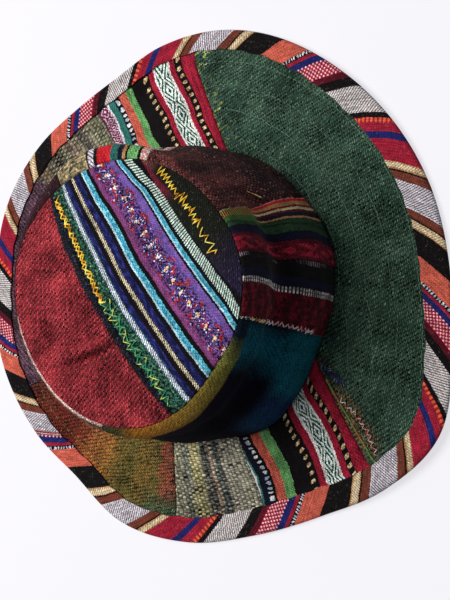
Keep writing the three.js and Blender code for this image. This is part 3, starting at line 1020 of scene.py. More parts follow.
print("short names ready")

# %% Shared effects
SOCKET_KINDS = {float: "NodeSocketFloat", tuple: "NodeSocketColor", type(None): "NodeSocketVector"}
ANY_COLOUR = (0.5, 0.5, 0.5, 1)


def new_effect(name, inputs, outputs):
    """Starts a group whose sockets are of the kind of the given values, None being a vector"""
    global tree
    tree = bpy.data.node_groups.new(name, "ShaderNodeTree")
    for way, sockets in (("INPUT", inputs), ("OUTPUT", outputs)):
        for label, value in sockets.items():
            kind = SOCKET_KINDS[type(value)]
            socket = tree.interface.new_socket(label, in_out=way, socket_type=kind)
            if value is not None:
                socket.default_value = value
    given = {socket.name: Wire(socket) for socket in tree.nodes.new("NodeGroupInput").outputs}
    return given, tree.nodes.new("NodeGroupOutput").inputs


def effect(name, **inputs):
    """A shared group placed here, its sockets fed by name"""
    fed = {label.replace("_", " "): value for label, value in inputs.items()}
    made = node("Group", fed, node_tree=bpy.data.node_groups[name]).socket.node
    return {socket.name: Wire(socket) for socket in made.outputs}


print("kinds of socket:", len(SOCKET_KINDS))

# %% [markdown]
# Woven cloth is threads that pass over and under each other. Across each thread the surface is
# round, along it the height rises and falls, and at every crossing one of the two directions is
# on top. The group works this out from a map in millimetres, so every patch can have its own
# thread width, and it gives each thread a shade of its own. Its shade also holds painted light:
# the crossings where the warp is on top are painted lighter than those of the weft.

# %% Weave effect
given, result = new_effect(
    "weave", dict(Cloth=None, Across=2.0, Along=2.0, Wander=0.3, Repeat=2.0), dict(Height=0.0, Shade=0.0)
)


def wandered(vector, scale, amount):
    """The map pushed about by smooth noise, so that threads bend and crowd"""
    drift = clouds(vector, scale, 2.0, "Color")
    drift = node("VectorMath", [drift, (0.5, 0.5, 0.5)], operation="SUBTRACT")
    return node("VectorMath", [vector, scaled(drift, given["Wander"] * amount)], operation="ADD")


def chance(first, second=None):
    """A random value of its own for each whole number, or pair of them"""
    if second is None:
        return node("TexWhiteNoise", {"W": first}, "Value", noise_dimensions="1D")
    pair = node("CombineXYZ", [first, second])
    return node("TexWhiteNoise", {"Vector": pair}, "Value", noise_dimensions="2D")


def pebble(across_thread, along_thread):
    """The rounded bit of a thread that shows at a crossing, high in its middle"""
    return sums("COSINE", across_thread * 2.9) * sums("COSINE", along_thread * 1.9)


def either(share, first, second):
    return node("Mix", {0: share, 2: first, 3: second}, data_type="FLOAT")


across, along = parts(wandered(wandered(given["Cloth"], 0.07, 8.0), 0.45, 2.2))
places = [across / given["Across"], along / given["Along"]]
warp_number, weft_number = (sums("FLOOR", place) for place in places)
off_warp, off_weft = (sums("FRACT", place) - 0.5 for place in places)
turn = (warp_number - weft_number) / given["Repeat"]
warp_on_top = sums("LESS_THAN", sums("FRACT", turn + 0.02), 0.4)
crossing = chance(warp_number, weft_number)
thread = either(warp_on_top, chance(weft_number), chance(warp_number))
pebbles = either(warp_on_top, pebble(off_weft, off_warp), pebble(off_warp, off_weft))
# Shade holds each thread's own tone and painted light, which makes the crossings with the warp on top
# lighter
feed(result, {
    "Height": pebbles * (crossing * 0.4 + 0.6),
    "Shade": thread * 0.25 + crossing * 0.35 + warp_on_top * 0.4,
})
print("weave effect ready")

# %% [markdown]
# The stripes carry small woven figures: rows of beads, ladders of ticks, and lozenges. Beads and
# ticks are the same shape with rounder or squarer corners, so one group makes both, and one
# more gives the distance from the middle of a lozenge, which a material then turns into rings.

# %% Figure effects
given, result = new_effect(
    "tick row",
    dict(Along=0.0, Aside=0.0, Pitch=4.0, Share=0.5, Width=2.0, Squareness=2.0, Roughness=0.0),
    dict(Mask=0.0),
)
lengthwise = off_middle(given["Along"], given["Pitch"]) * 2.0 / given["Share"]
sidewise = abs(given["Aside"]) * 2.0 / given["Width"]
far = sums("POWER", lengthwise, given["Squareness"]) + sums("POWER", sidewise, given["Squareness"])
feed(result, {"Mask": smooth(far + given["Roughness"], 0.7, 1.25, 1.0, 0.0)})

given, result = new_effect(
    "lozenge row",
    dict(Along=0.0, Aside=0.0, Pitch=10.0, Width=8.0),
    dict(Distance=0.0, Lengthwise=0.0, Sidewise=0.0),
)
lengthwise = off_middle(given["Along"], given["Pitch"]) * 2.0
sidewise = abs(given["Aside"]) * 2.0 / given["Width"]
feed(result, {"Distance": lengthwise + sidewise, "Lengthwise": lengthwise, "Sidewise": sidewise})
print("figure effects ready")

# %% [markdown]
# Whatever its colours, hemp looks matt and lively: the gaps between its threads are dark, each
# thread is a little lighter or darker than the next, pale fibres fleck it and the dye is uneven.
# This last shared group adds all of that to a plain colour, with the painted light on the
# crossings that comes in with the weave's shade.

# %% Hemp finish effect
given, result = new_effect(
    "hemp finish",
    {"Colour": ANY_COLOUR, "Cloth": None, "Height": 1.0, "Shade": 0.5, "Gap": 0.6, "Unevenness": 0.3,
     "Flecks": 0.2, "Fleck colour": ANY_COLOUR},
    {"Colour": ANY_COLOUR, "Roughness": 0.9},
)
open_weave = smooth(given["Height"], 0.05, 0.6)
gap_shade = open_weave * given["Gap"] + (1.0 - given["Gap"])
cloudy = (clouds(given["Cloth"], 0.05, 3.0) - 0.5) * 1.6
patchy = (clouds(given["Cloth"], 0.28) - 0.5) * 1.2
thread_tone_and_painted_light = (given["Shade"] - 0.5) * 1.8
# dye here holds the uneven dye and the painted light that comes in with Shade
dye = (thread_tone_and_painted_light + (cloudy + patchy)) * given["Unevenness"] + 1.0
scattered = smooth(clouds(given["Cloth"], 0.45, 1.0), 0.5, 0.65)
fleck = smooth(given["Shade"], 0.6, 0.95) * scattered * given["Flecks"]
flecked = mix(fleck, given["Colour"], given["Fleck colour"])
feed(result, {
    "Colour": scaled(flecked, gap_shade * dye),
    "Roughness": smooth(open_weave, 0.0, 1.0, 1.0, 0.86),
})
print("effects:", [group.name for group in bpy.data.node_groups])

# %% [markdown]
# A cloth material takes its colours from a function of its own and the rest from the shared
# effects. Sheen is the soft light that loose fibres catch, and it is the same all over a patch,
# so it is set on the shader itself. Hemp has little of it, or its dark dyes would look dusty.

# %% Cloth material
def new_material(name, *names):
    """Starts a material on the pieces of those names, and gives the sockets of its shader"""
    global tree
    material = bpy.data.materials.new(name)
    material.use_nodes = True
    for piece in names:
        pieces[piece].data.materials.append(material)
    tree = material.node_tree
    return tree.nodes["Principled BSDF"].inputs


def bumped(height, strength, depth):
    return node("Bump", {"Strength": strength, "Distance": depth * MM, "Height": height})


def cover(piece, name, colour_of, across, along, relief=0.6, gap=0.7, uneven=0.5, flecks=0.15,
          fleck_colour=(150, 145, 130), wander=0.3, repeat=2, map_name="cloth", shine=0.08):
    """Woven cloth for a piece: its colours, and the width of its threads across and along"""
    shader = new_material(name, piece)
    cloth = vector_of(map_name)
    weave = effect("weave", Cloth=cloth, Across=across, Along=along, Wander=wander, Repeat=repeat)
    finish = effect(
        "hemp finish", Colour=colour_of(), Cloth=cloth, Height=weave["Height"], Shade=weave["Shade"],
        Gap=gap, Unevenness=uneven, Flecks=flecks, Fleck_colour=linear(fleck_colour),
    )
    feed(shader, {
        "Base Color": finish["Colour"], "Roughness": finish["Roughness"],
        "Normal": bumped(weave["Height"], relief, 0.6), "Sheen Weight": shine / 4,
        "Sheen Roughness": 0.5, "Specular IOR Level": shine,
    })
    print(piece, "is", name)


# %% [markdown]
# The plain patches are hemp in one dye. Under a lens it is never one colour: darker and lighter
# clouds drift through it, so each has two shades and a slow noise between them.

# %% Plain hemp
def clouded(dark, light, size=22):
    """Two shades of one dye with soft clouds between them"""
    return lambda: mix(smooth(clouds("cloth", 1 / size, 3.0), 0.35, 0.65), dark, light)


def green_hemp():
    """Dark green, with yarns caught along the seams at both ends"""
    position, outward = parts("share")
    yarns = ramp(clouds("cloth", 0.35), [
        (0.0, (52, 64, 120)), (0.36, (48, 76, 60)), (0.56, (120, 132, 76)), (0.62, (150, 158, 84)),
        (0.68, (60, 96, 70)),
    ], "CONSTANT")
    ragged = position + clouds("cloth", 0.2) * 0.03
    back = smooth(ragged, 0.978, 0.99) * smooth(clouds("cloth", 0.09), 0.42, 0.58)
    green = mix(back, clouded((42, 66, 54), (60, 84, 70))(), yarns)
    twisted = ramp(clouds("cloth", 0.5), [
        (0.0, (26, 34, 44)), (0.4, (84, 60, 46)), (0.48, (92, 100, 58)), (0.56, (112, 40, 44)),
        (0.61, (140, 124, 92)),
    ], "CONSTANT")
    shadowed = mix(smooth(outward, 0.36, 0.22, 0.0, 0.75), twisted, (22, 28, 34))
    front = smooth(ragged, 0.064, 0.05, 0.0, 0.8) * smooth(outward, 0.85, 0.65)
    return mix(front, green, shadowed)


def brown_hemp():
    """Brown, with painted shade that darkens it towards the brim"""
    low = smooth(parts("share")[1], 0.65, 0.3, 0.0, 0.8)
    return mix(low, clouded((58, 26, 28), (98, 52, 50))(), (36, 22, 24))


def pale_hemp():
    """Pale at the seam round the tip, and brown below it"""
    pale = clouded((186, 150, 146), (222, 196, 190))()
    brown = clouded((84, 58, 48), (106, 72, 60), 34)()
    return mix(smooth(parts("share")[1], 0.955, 0.985), brown, pale)


def embroidered_ground():
    """Black-green cloth, with a dark crimson strip and a brown end at the top, and purple lower down"""
    across, along = parts("share")
    drift = (clouds("cloth", 0.08) - 0.5) * 0.1
    along = along + drift
    ends = ramp(along, [
        (0.0, (112, 62, 60)), (0.07, (92, 50, 50)), (0.12, (24, 24, 20)), (0.6, (22, 26, 20)),
        (0.74, (30, 26, 40)), (0.9, (36, 30, 58)), (1.0, (28, 26, 40)),
    ])
    strip = smooth(across + drift, 0.34, 0.24) * smooth(along, 0.34, 0.22)
    return mix(strip, ends, (104, 26, 46))


TWILL = dict(across=1.15, along=1.15, relief=1.0, gap=0.8, repeat=3, wander=0.55)
cover("tip_red", "red hemp", clouded((108, 30, 38), (142, 46, 54)), uneven=1.25, flecks=0.3,
      fleck_colour=(200, 92, 96), **TWILL)
cover("brim_green", "green hemp", green_hemp, uneven=1.2, flecks=0.3, fleck_colour=(116, 144, 122), **TWILL)
cover("side_brown", "brown hemp", brown_hemp, across=1.7, along=1.7, relief=1.0, gap=0.8, uneven=1.2,
      flecks=0.5, fleck_colour=(150, 108, 104), wander=0.4)
cover("side_wine", "wine hemp", clouded((38, 18, 26), (58, 28, 38)), uneven=0.5, flecks=0.1, **TWILL)
cover("side_pale", "pale hemp", pale_hemp, across=1.4, along=1.4, relief=0.7, gap=0.7, uneven=0.8,
      flecks=0.3, fleck_colour=(160, 124, 108))
cover("brim_dark", "dark hemp", clouded((54, 37, 46), (92, 66, 82)), uneven=1.1, flecks=0.3,
      fleck_colour=(130, 106, 114), **TWILL)
cover("tip_embroidered", "embroidered hemp", embroidered_ground, uneven=0.4, flecks=0.1, **TWILL)

# %% [markdown]
# Stripes are woven, so a striped cloth is a list of neighbouring threads and their colours. The
# list is kept as a table: colour, width as a share of the cloth, and the figure that it carries,
# if any, with its place in the stripe, its width and its pitch in millimetres.

# %% Colours of the stripes
COLOURS = {
    "black": (14, 11, 14), "crimson": (146, 28, 50), "dark crimson": (78, 14, 30), "red": (176, 30, 40),
    "green": (96, 150, 92), "grey green": (44, 96, 78), "deep crimson": (96, 14, 28),
    "shadow green": (30, 56, 36), "orange": (187, 88, 73), "teal": (44, 104, 98),
    "white": (214, 214, 214), "lilac": (198, 197, 209), "grey": (202, 201, 203),
    "cream": (200, 186, 140), "navy": (28, 34, 96), "dark navy": (14, 16, 36), "cyan": (66, 156, 182),
    "purple": (106, 82, 156), "brown": (104, 52, 40), "magenta": (104, 36, 70), "olive": (96, 98, 52),
    "tan": (160, 120, 78), "rose": (206, 128, 122),
}
print("stripe colours:", len(COLOURS))

# %% Rows of ticks
FIGURES = {}


def figure(make):
    """Keeps a function that draws a woven figure on the ground colour, under its own name"""
    FIGURES[make.__name__] = make
    return make


def ticks(along, aside, pitch, share, width, squareness=2.0, ragged=1.4):
    """A row of ticks, their edges made ragged by noise"""
    return effect(
        "tick row", Along=along, Aside=aside, Pitch=pitch, Share=share, Width=width,
        Squareness=squareness, Roughness=(clouds("cloth", 0.75) - 0.5) * ragged,
    )["Mask"]


@figure
def beads(ground, along, aside, width, pitch):
    """Cream beads with dark rims, as loops of warp make them"""
    slanted = along + aside * 0.35
    dark = mix(ticks(slanted, aside, pitch, 1.0, width * 1.3, 3.0), ground, COLOURS["black"])
    cream = mix(smooth(clouds("cloth", 0.5), 0.38, 0.62), (140, 104, 62), (226, 206, 164))
    return mix(ticks(slanted, aside, pitch, 0.46, width * 0.74, 3.2, 2.6), dark, cream)


@figure
def ladder(ground, along, aside, width, pitch):
    """Pale ticks across the stripe on a dark ground, a dark warp thread down their middle"""
    dark = mix(ticks(along, aside, 50, 3.0, width * 1.2, 8.0, 0.3), ground, (16, 30, 30))
    cut = ticks(along + aside * 0.12, aside, pitch, 0.6, width, 5.0, 1.0)
    tone = mix(clouds("cloth", 0.4), (120, 176, 160), (236, 240, 236))
    return mix(cut * smooth(abs(aside), 0.1, 0.5, 0.45, 1.0), dark, tone)


@figure
def blocks(ground, along, aside, width, pitch):
    """Short white blocks, uneven in place and in tone"""
    drift = clouds("stripe", 0.16) - 0.5
    tone = mix(smooth(drift, -0.1, 0.1), (150, 168, 192), (222, 220, 220))
    return mix(ticks(along + drift * 7.0, aside, pitch, 0.55, width, 2.4, 1.6), ground, tone)


@figure
def rungs(ground, along, aside, width, pitch):
    """Two rows of thin white ticks that fade in and out"""
    cut = ticks(along, aside, pitch, 0.55, width, 6.0, 1.0) * smooth(abs(aside), 0.1, 0.5, 0.3, 1.0)
    tone = mix(clouds("cloth", 0.5), (150, 140, 144), (230, 224, 224))
    return mix(cut * smooth(clouds("stripe", 0.08), 0.38, 0.56, 0.35, 1.0), ground, tone)


@figure
def faint(ground, along, aside, width, pitch):
    """A row of thin dull ticks that comes and goes"""
    faded = smooth(clouds("stripe", 0.05), 0.46, 0.6)
    return mix(ticks(along, aside, pitch, 0.55, width, 5.0, 1.6) * faded, ground, (112, 100, 106))


@figure
def studs(ground, along, aside, width, pitch):
    """Short orange blocks"""
    return mix(ticks(along, aside, pitch, 0.6, width, 3.0), ground, (214, 96, 56))


@figure
def rope(ground, along, aside, width, pitch):
    """A line of slanted pale stitches, like a twisted cord"""
    cord = ticks(along + aside * 0.8, aside, pitch, 0.7, width, 1.8)
    tone = mix(clouds("cloth", 0.5), (150, 166, 206), (250, 250, 252))
    return mix(cord, mix(0.5, ground, (40, 48, 84)), tone)


@figure
def gilt(ground, along, aside, width, pitch):
    """A fine golden cord on black"""
    cord = ticks(along + aside * 0.8, aside, pitch, 0.75, width, 1.8, 1.0)
    return mix(cord, ground, mix(clouds("cloth", 0.5), (156, 136, 108), (244, 236, 206)))


@figure
def wavy(ground, along, aside, width, pitch):
    """A bright stripe with white along its edge and darker blue ticks in it"""
    dark = ticks(along + aside * 0.7, aside, pitch, 0.5, width * 0.9, 2.0, 2.0)
    ticked = mix(dark * 0.7, ground, (26, 88, 140))
    lit = mix(smooth(clouds("cloth", 0.35), 0.5, 0.62, 0.0, 0.6), ticked, (130, 214, 228))
    return mix(smooth(aside + width * 0.42, 0.2, 0.6, 0.7, 0.0), lit, (196, 220, 234))


print("rows of ticks:", sorted(FIGURES))

# %% Lozenges
def lozenges(along, aside, width, pitch):
    return effect("lozenge row", Along=along, Aside=aside, Width=width, Pitch=pitch)


@figure
def rings(ground, along, aside, width, pitch):
    """Rings of long lozenges with crosses between them"""
    ripple = sums("SINE", lozenges(along, aside, width, pitch)["Distance"] * 12.0)
    broken = ripple + (clouds("stripe", 0.7) - 0.5) * 2.4
    return mix(smooth(broken, -0.3, 0.3), (222, 232, 226), (16, 74, 68))


@figure
def lace(ground, along, aside, width, pitch):
    """A lattice of pale broken lozenges"""
    ripple = sums("SINE", lozenges(along, aside, width, pitch)["Distance"] * 9.0)
    broken = ripple + (clouds("stripe", 0.6) - 0.5) * 3.0
    return mix(smooth(broken, 0.3, 0.75), ground, (196, 176, 188))


@figure
def hooks(ground, along, aside, width, pitch):
    """Dark broken lozenges and blotches"""
    blotch = clouds("stripe", 0.22, 3.0)
    rough = lozenges(along, aside, width, pitch)["Distance"] + blotch * 0.8
    ring = smooth(abs(rough - 1.05), 0.15, 0.4, 0.7, 0.0)
    return mix(sums("MAXIMUM", ring, smooth(blotch, 0.5, 0.62, 0.0, 0.9)), ground, (22, 6, 10))


@figure
def stars(ground, along, aside, width, pitch):
    """A chain of lozenges speckled with navy, red and white, with a star at each middle and end"""
    shape = lozenges(along, aside, width, pitch)
    coarse = clouds("cloth", 0.26) - 0.5
    fine = clouds("cloth", 0.6, 1.0) - 0.5
    warm = mix(smooth(aside, -2.0, -7.0, 0.0, 0.8), ground, (120, 56, 98))
    pink = mix(smooth(coarse, 0.02, 0.16, 0.0, 0.7), warm, (138, 66, 130))
    near = smooth(abs(aside), width * 0.32, width * 0.5, 1.0, 0.0)
    field = mix(near * smooth(fine, -0.01, 0.02, 0.1, 0.95), pink, (22, 18, 56))
    speckled = ramp(fine + 0.5, [
        (0.0, (132, 36, 66)), (0.38, (92, 84, 164)), (0.44, (10, 10, 26)), (0.56, (96, 82, 156)),
        (0.64, (206, 204, 224)),
    ], "CONSTANT")
    rough = shape["Distance"] + coarse * 0.8
    chain = mix(smooth(rough, 0.9, 1.0, 1.0, 0.0), field, speckled)
    red = mix(smooth(fine, -0.06, 0.06), (116, 20, 50), (182, 62, 54))
    flank = smooth(abs(rough - 0.9), 0.15, 0.35, 1.0, 0.0)
    spotted = mix(smooth(clouds("cloth", 0.31, 1.0), 0.53, 0.57) * flank, chain, red)
    reach = sums("MINIMUM", 1.0 - shape["Lengthwise"], shape["Lengthwise"] * 1.2)
    cross = reach * 2.0 + shape["Sidewise"]
    star = smooth(fine * 1.6 + cross, 0.2, 0.34, 1.0, 0.0)
    return mix(star, spotted, mix(smooth(coarse, -0.1, 0.12), (240, 236, 250), (226, 176, 110)))


print("figures with lozenges:", len(FIGURES))

# %% Flecks and threads
@figure
def shot(ground, along, aside, width, pitch):
    """Darker and purple threads that show through in streaks"""
    streak = clouds(stretched("stripe", 0.6, 0.2), 1.0)
    dark = mix(smooth(streak, 0.42, 0.52, 0.75, 0.0), ground, (12, 10, 26))
    return mix(smooth(streak, 0.58, 0.66, 0.0, 0.6), dark, (64, 60, 130))


@figure
def mottling(ground, along, aside, width, pitch):
    """Dark flecks all over a stripe, and a few bright ones"""
    flecks = clouds("cloth", 1 / pitch)
    dark = mix(smooth(flecks, 0.44, 0.54), (14, 22, 26), ground)
    return mix(smooth(flecks, 0.63, 0.7), dark, (150, 160, 110))


@figure
def tweedy(ground, along, aside, width, pitch):
    """Brown and grey-green dashes, as on the tweed patch beside it"""
    return ramp(smooth(clouds(stretched("stripe", 0.25, 0.8), 1.0), 0.3, 0.7), [
        (0.0, (40, 36, 32)), (0.35, (96, 92, 70)), (0.6, (132, 116, 88)), (1.0, (176, 160, 124)),
    ])


@figure
def speckle(ground, along, aside, width, pitch):
    """White yarn that shows through in broken flecks"""
    return mix(smooth(clouds("stripe", 1 / pitch), 0.48, 0.56), ground, (216, 210, 206))


@figure
def threads(ground, along, aside, width, pitch):
    """Fine dark dashes across a pale stripe"""
    fibre = clouds("cloth", 0.6)
    line = smooth(off_middle(along + aside * 0.9, pitch), 0.12, 0.3, 0.95, 0.0)
    return mix(line * smooth(fibre, 0.28, 0.42), ground, mix(fibre, (14, 14, 26), (120, 78, 78)))


@figure
def spots(ground, along, aside, width, pitch):
    """A grid of small pink spots"""
    rows, columns = (sums("COSINE", place * (2 * math.pi / pitch)) for place in (along, aside))
    return mix(smooth(rows * columns, 0.1, 0.45), ground, (232, 176, 186))


print("figures:", sorted(FIGURES))

# %% [markdown]
# A weaver's stripes are never quite straight or quite even: they wander by a few millimetres over
# the length of a patch, their edges are as rough as one thread, and the yarn changes along its
# length. The function below turns a table into such a cloth.

# %% Striped cloth
def across_patch():
    """The share of the way across a patch, and millimetres along it"""
    return parts("share")[0], parts("stripe")[1]


def striped(rows, width, place_of=across_patch, wander=4.0):
    """Colours of a striped cloth from its table, by the share of the way across the piece"""
    starts = [sum(row[1] for row in rows[:i]) for i in range(len(rows))]

    def colour_of():
        position, along = place_of()
        position = position + (clouds("stripe", 0.03, 1.0) - 0.5) * (wander / width)
        position = position + (clouds("stripe", 0.8, 1.0) - 0.5) * (1.6 / width)
        stops = [(start, COLOURS[row[0]]) for start, row in zip(starts, rows)]
        colour = ramp(position, stops, "CONSTANT")
        for start, (_, share, *drawn) in zip(starts, rows):
            if drawn:
                kind, middle, size, pitch = drawn
                aside = (position - (start + share * middle)) * width
                inside = sums("LESS_THAN", abs(position - (start + share / 2)), share / 2)
                colour = mix(inside, colour, FIGURES[kind](colour, along, aside, size, pitch))
        tone = clouds(stretched("stripe", 0.5, 0.08), 1.0)
        return scaled(colour, smooth(tone, 0.3, 0.7, 0.72, 1.22))
    return colour_of


STRIPE_WEAVE = dict(across=1.0, along=1.3, relief=0.5, gap=0.5, uneven=0.6, flecks=0, map_name="stripe")
print("striped cloth ready")

# %% Stripes of the brim
STRIPES_BACK = [
    ("crimson", 0.018), ("black", 0.073, "beads", 0.5, 4.2, 4.7), ("crimson", 0.05), ("white", 0.028),
    ("teal", 0.128, "rings", 0.5, 9.6, 19), ("white", 0.018), ("crimson", 0.055),
    ("black", 0.197, "beads", 0.21, 4.4, 5.4), ("green", 0.078), ("orange", 0.087),
    ("black", 0.064, "blocks", 0.5, 3.4, 4.9), ("teal", 0.073), ("lilac", 0.018),
    ("magenta", 0.113, "lace", 0.5, 9, 6.5),
]
STRIPES_FRONT = [
    ("white", 0.02), ("teal", 0.02), ("dark navy", 0.055), ("black", 0.07, "blocks", 0.4, 3.2, 4.6),
    ("orange", 0.085), ("green", 0.086), ("black", 0.234, "beads", 0.786, 4.6, 5.8), ("crimson", 0.066),
    ("white", 0.028), ("teal", 0.116, "rings", 0.5, 8.6, 19), ("white", 0.02), ("crimson", 0.057),
    ("black", 0.057, "beads", 0.5, 4.4, 5.2), ("crimson", 0.086),
]
cover("brim_striped_back", "back stripes", striped(STRIPES_BACK, 72), **STRIPE_WEAVE)
cover("brim_striped_front", "front stripes", striped(STRIPES_FRONT, 74), **STRIPE_WEAVE)

# %% Stripes of the tip
STRIPES_TIP = [
    ("black", 0.03, "mottling", 0.5, 4, 1.2), ("grey green", 0.125, "mottling", 0.4, 16, 1.6),
    ("grey green", 0.045, "rope", 0.5, 3.2, 1.7), ("navy", 0.045, "shot", 0.5, 4, 2), ("black", 0.035),
    ("black", 0.04, "gilt", 0.5, 2.8, 1.7), ("navy", 0.055, "shot", 0.5, 4, 2), ("black", 0.035),
    ("cyan", 0.058, "wavy", 0.5, 3.6, 2.0), ("black", 0.037), ("purple", 0.295, "stars", 0.47, 17.5, 20.5),
    ("black", 0.02), ("cyan", 0.045, "wavy", 0.5, 3, 2.0), ("black", 0.03),
    ("black", 0.105, "ladder", 0.45, 7.0, 2.5),
]
cover("tip_striped", "tip stripes", striped(STRIPES_TIP, 80, wander=2.0), **STRIPE_WEAVE)

# %% Stripes of the crown's side
STRIPES_SIDE = [
    ("rose", 0.08, "speckle", 0.5, 4, 2), ("black", 0.03), ("green", 0.11), ("black", 0.02), ("tan", 0.03),
    ("dark navy", 0.05), ("teal", 0.07), ("red", 0.15), ("black", 0.04),
    ("lilac", 0.06, "threads", 0.5, 4, 2.2), ("black", 0.02), ("olive", 0.34, "tweedy", 0.5, 60, 2),
]
STRIPES_PATTERNED = [
    ("dark navy", 0.03, "speckle", 0.5, 2, 1.6), ("deep crimson", 0.34, "hooks", 0.5, 40, 17),
    ("black", 0.06, "rungs", 0.5, 3.8, 1.9), ("dark navy", 0.08), ("black", 0.12),
    ("black", 0.05, "faint", 0.5, 2.6, 1.9), ("dark crimson", 0.03), ("crimson", 0.12, "hooks", 0.5, 12, 30),
    ("dark crimson", 0.04), ("dark navy", 0.08), ("shadow green", 0.05),
]
cover("side_striped", "side stripes", striped(STRIPES_SIDE, 60), **STRIPE_WEAVE)
cover("side_patterned", "patterned stripes", striped(STRIPES_PATTERNED, 66), **STRIPE_WEAVE)

# %% Ribbed cloth
STRIPES_BELOW = [
    ("shadow green", 0.22), ("tan", 0.07), ("dark navy", 0.14), ("dark crimson", 0.1), ("cream", 0.09),
    ("deep crimson", 0.08), ("tan", 0.13), ("red", 0.11), ("rose", 0.06),
]
RIB_PITCH = 1.8


def ribbed():
    """Olive ribs above green by the tip, and plain stripes lower down"""
    across, rise = parts("share")
    rib = smooth(off_middle(parts("stripe")[1], RIB_PITCH), 0.15, 0.35)
    yarn = mix(smooth(clouds("cloth", 0.12), 0.4, 0.6), (140, 134, 62), (160, 108, 58))
    ribs = mix(rib, (26, 26, 14), yarn)
    edged = mix(smooth(across, 0.9, 0.94, 0.0, 0.8), ribs, (150, 146, 130))
    above = mix(smooth(across, 0.36, 0.42), (52, 88, 44), edged)
    return mix(smooth(rise, 0.6, 0.64), striped(STRIPES_BELOW, 18, wander=2.0)(), above)


cover("side_ribbed", "ribbed stripes", ribbed, across=1.1, along=1.1, relief=0.6, gap=0.5, uneven=0.4,
      flecks=0.1)

# %% [markdown]
# Two patches are dyed in clouds that run into each other, and two are spun from threads of many
# colours. A ramp across the patch gives the dye, with noise to break its edges, and a tweed takes
# a colour for each column from a ramp, crossed by dashes from another.

# %% Dyed hemp
def drifting(size, amount):
    """The share of the way across a patch, blurred by soft noise"""
    return (clouds("cloth", 1 / size, 4.0) - 0.5) * amount + parts("share")[0]


def rust_to_olive():
    """Rust, pink, gold and olive that run into each other, teal at the outer corner"""
    dye = ramp(drifting(9, 0.2), [
        (0.0, (84, 28, 30)), (0.22, (98, 20, 22)), (0.34, (106, 30, 26)), (0.42, (140, 80, 46)),
        (0.54, (140, 90, 40)), (0.62, (104, 84, 38)), (0.7, (88, 82, 38)), (0.79, (112, 86, 38)),
        (0.88, (90, 82, 40)), (0.94, (132, 62, 50)), (1.0, (110, 66, 54)),
    ])
    corner = smooth(drifting(12, 0.25), 0.7, 0.95) * smooth(parts("share")[1], 0.6, 0.85)
    pale = smooth(clouds("cloth", 0.6), 0.54, 0.66, 0.0, 0.25)
    flecked = mix(pale, mix(corner, dye, (52, 80, 62)), (168, 136, 84))
    grain = smooth(clouds(stretched("cloth", 0.7, 0.25), 1.0), 0.35, 0.65)
    return mix(grain * 0.4, flecked, (54, 50, 24))


def teal_and_gold():
    """Dark navy cloth with painted shade that makes it near black, turning blue and teal at its foot and at
    one end, with a golden shoulder
    """
    rise = parts("share")[1]
    position = drifting(20, 0.15)
    # The darkest stops are the navy dye with painted shade on it, near black
    dark = ramp(position, [
        (0.0, (28, 32, 22)), (0.15, (6, 4, 12)), (0.72, (4, 2, 18)), (0.86, (8, 70, 84)),
        (0.94, (8, 66, 80)), (1.0, (6, 30, 40)),
    ])
    foot = ramp(position, [
        (0.5, (18, 56, 84)), (0.64, (16, 44, 78)), (0.73, (10, 78, 94)), (0.94, (10, 76, 88)),
    ])
    shoulder = ramp(position, [
        (0.0, (40, 50, 34)), (0.08, (62, 58, 32)), (0.16, (136, 88, 32)), (0.45, (108, 84, 34)),
        (0.8, (98, 100, 46)), (0.92, (12, 26, 38)),
    ])
    brimward = smooth(rise, 0.47, 0.29) * smooth(position, 0.4, 0.56)
    edge = clouds("cloth", 0.06, 3.0) * 0.06 + rise
    return mix(smooth(edge, 0.89, 0.93), mix(brimward * 0.9, dark, foot), shoulder)


cover("brim_dyed", "dyed hemp", rust_to_olive, uneven=1.3, flecks=0, **TWILL)
cover("side_teal", "teal hemp", teal_and_gold, uneven=0.7, flecks=0, shine=0.03, **TWILL)

# %% Tweed
def tweed(columns, dashes, edge_light=1.0):
    """Dashes of many colours that stand in columns, the light lowered towards the brim's edge"""
    def colour_of():
        column, outward = parts("share")
        drift = clouds(stretched("cloth", 0.3, 0.05), 1.0) - 0.5
        dash = smooth(clouds(stretched("cloth", 0.22, 0.7), 1.0, 1.0), 0.3, 0.7)
        spun = mix(0.3, ramp(drift * 0.12 + column, columns), ramp(dash, dashes))
        return scaled(spun, smooth(outward, 0.35, 0.7, 1.0, edge_light))
    return colour_of


COLUMNS_FRONT = [
    (0.0, (156, 152, 128)), (0.05, (98, 102, 88)), (0.1, (164, 160, 134)), (0.16, (62, 72, 80)),
    (0.21, (150, 152, 130)), (0.26, (172, 162, 108)), (0.33, (162, 152, 100)), (0.38, (156, 152, 118)),
    (0.42, (16, 20, 34)), (0.49, (24, 32, 50)), (0.52, (184, 146, 130)), (0.56, (146, 138, 116)),
    (0.585, (8, 50, 64)), (0.65, (12, 28, 50)), (0.69, (184, 176, 160)), (0.78, (164, 160, 146)),
    (0.86, (186, 182, 162)), (1.0, (148, 148, 132)),
]
DASHES_FRONT = [(0.0, (24, 26, 30)), (0.35, (106, 106, 90)), (0.65, (174, 170, 146)), (1.0, (216, 212, 192))]
COLUMNS_BACK = [
    (0.0, (116, 114, 100)), (0.12, (88, 96, 70)), (0.22, (126, 122, 106)), (0.32, (42, 44, 46)),
    (0.4, (124, 118, 100)), (0.5, (100, 78, 72)), (0.6, (106, 110, 88)), (0.7, (36, 38, 42)),
    (0.78, (98, 98, 84)), (0.9, (104, 84, 62)), (1.0, (56, 54, 54)),
]
DASHES_BACK = [(0.0, (26, 26, 26)), (0.35, (88, 82, 70)), (0.65, (136, 124, 106)), (1.0, (180, 168, 148))]
TWEED_WEAVE = dict(across=2.9, along=1.5, relief=1.0, gap=0.85, uneven=1.0, flecks=0.2, wander=0.5)
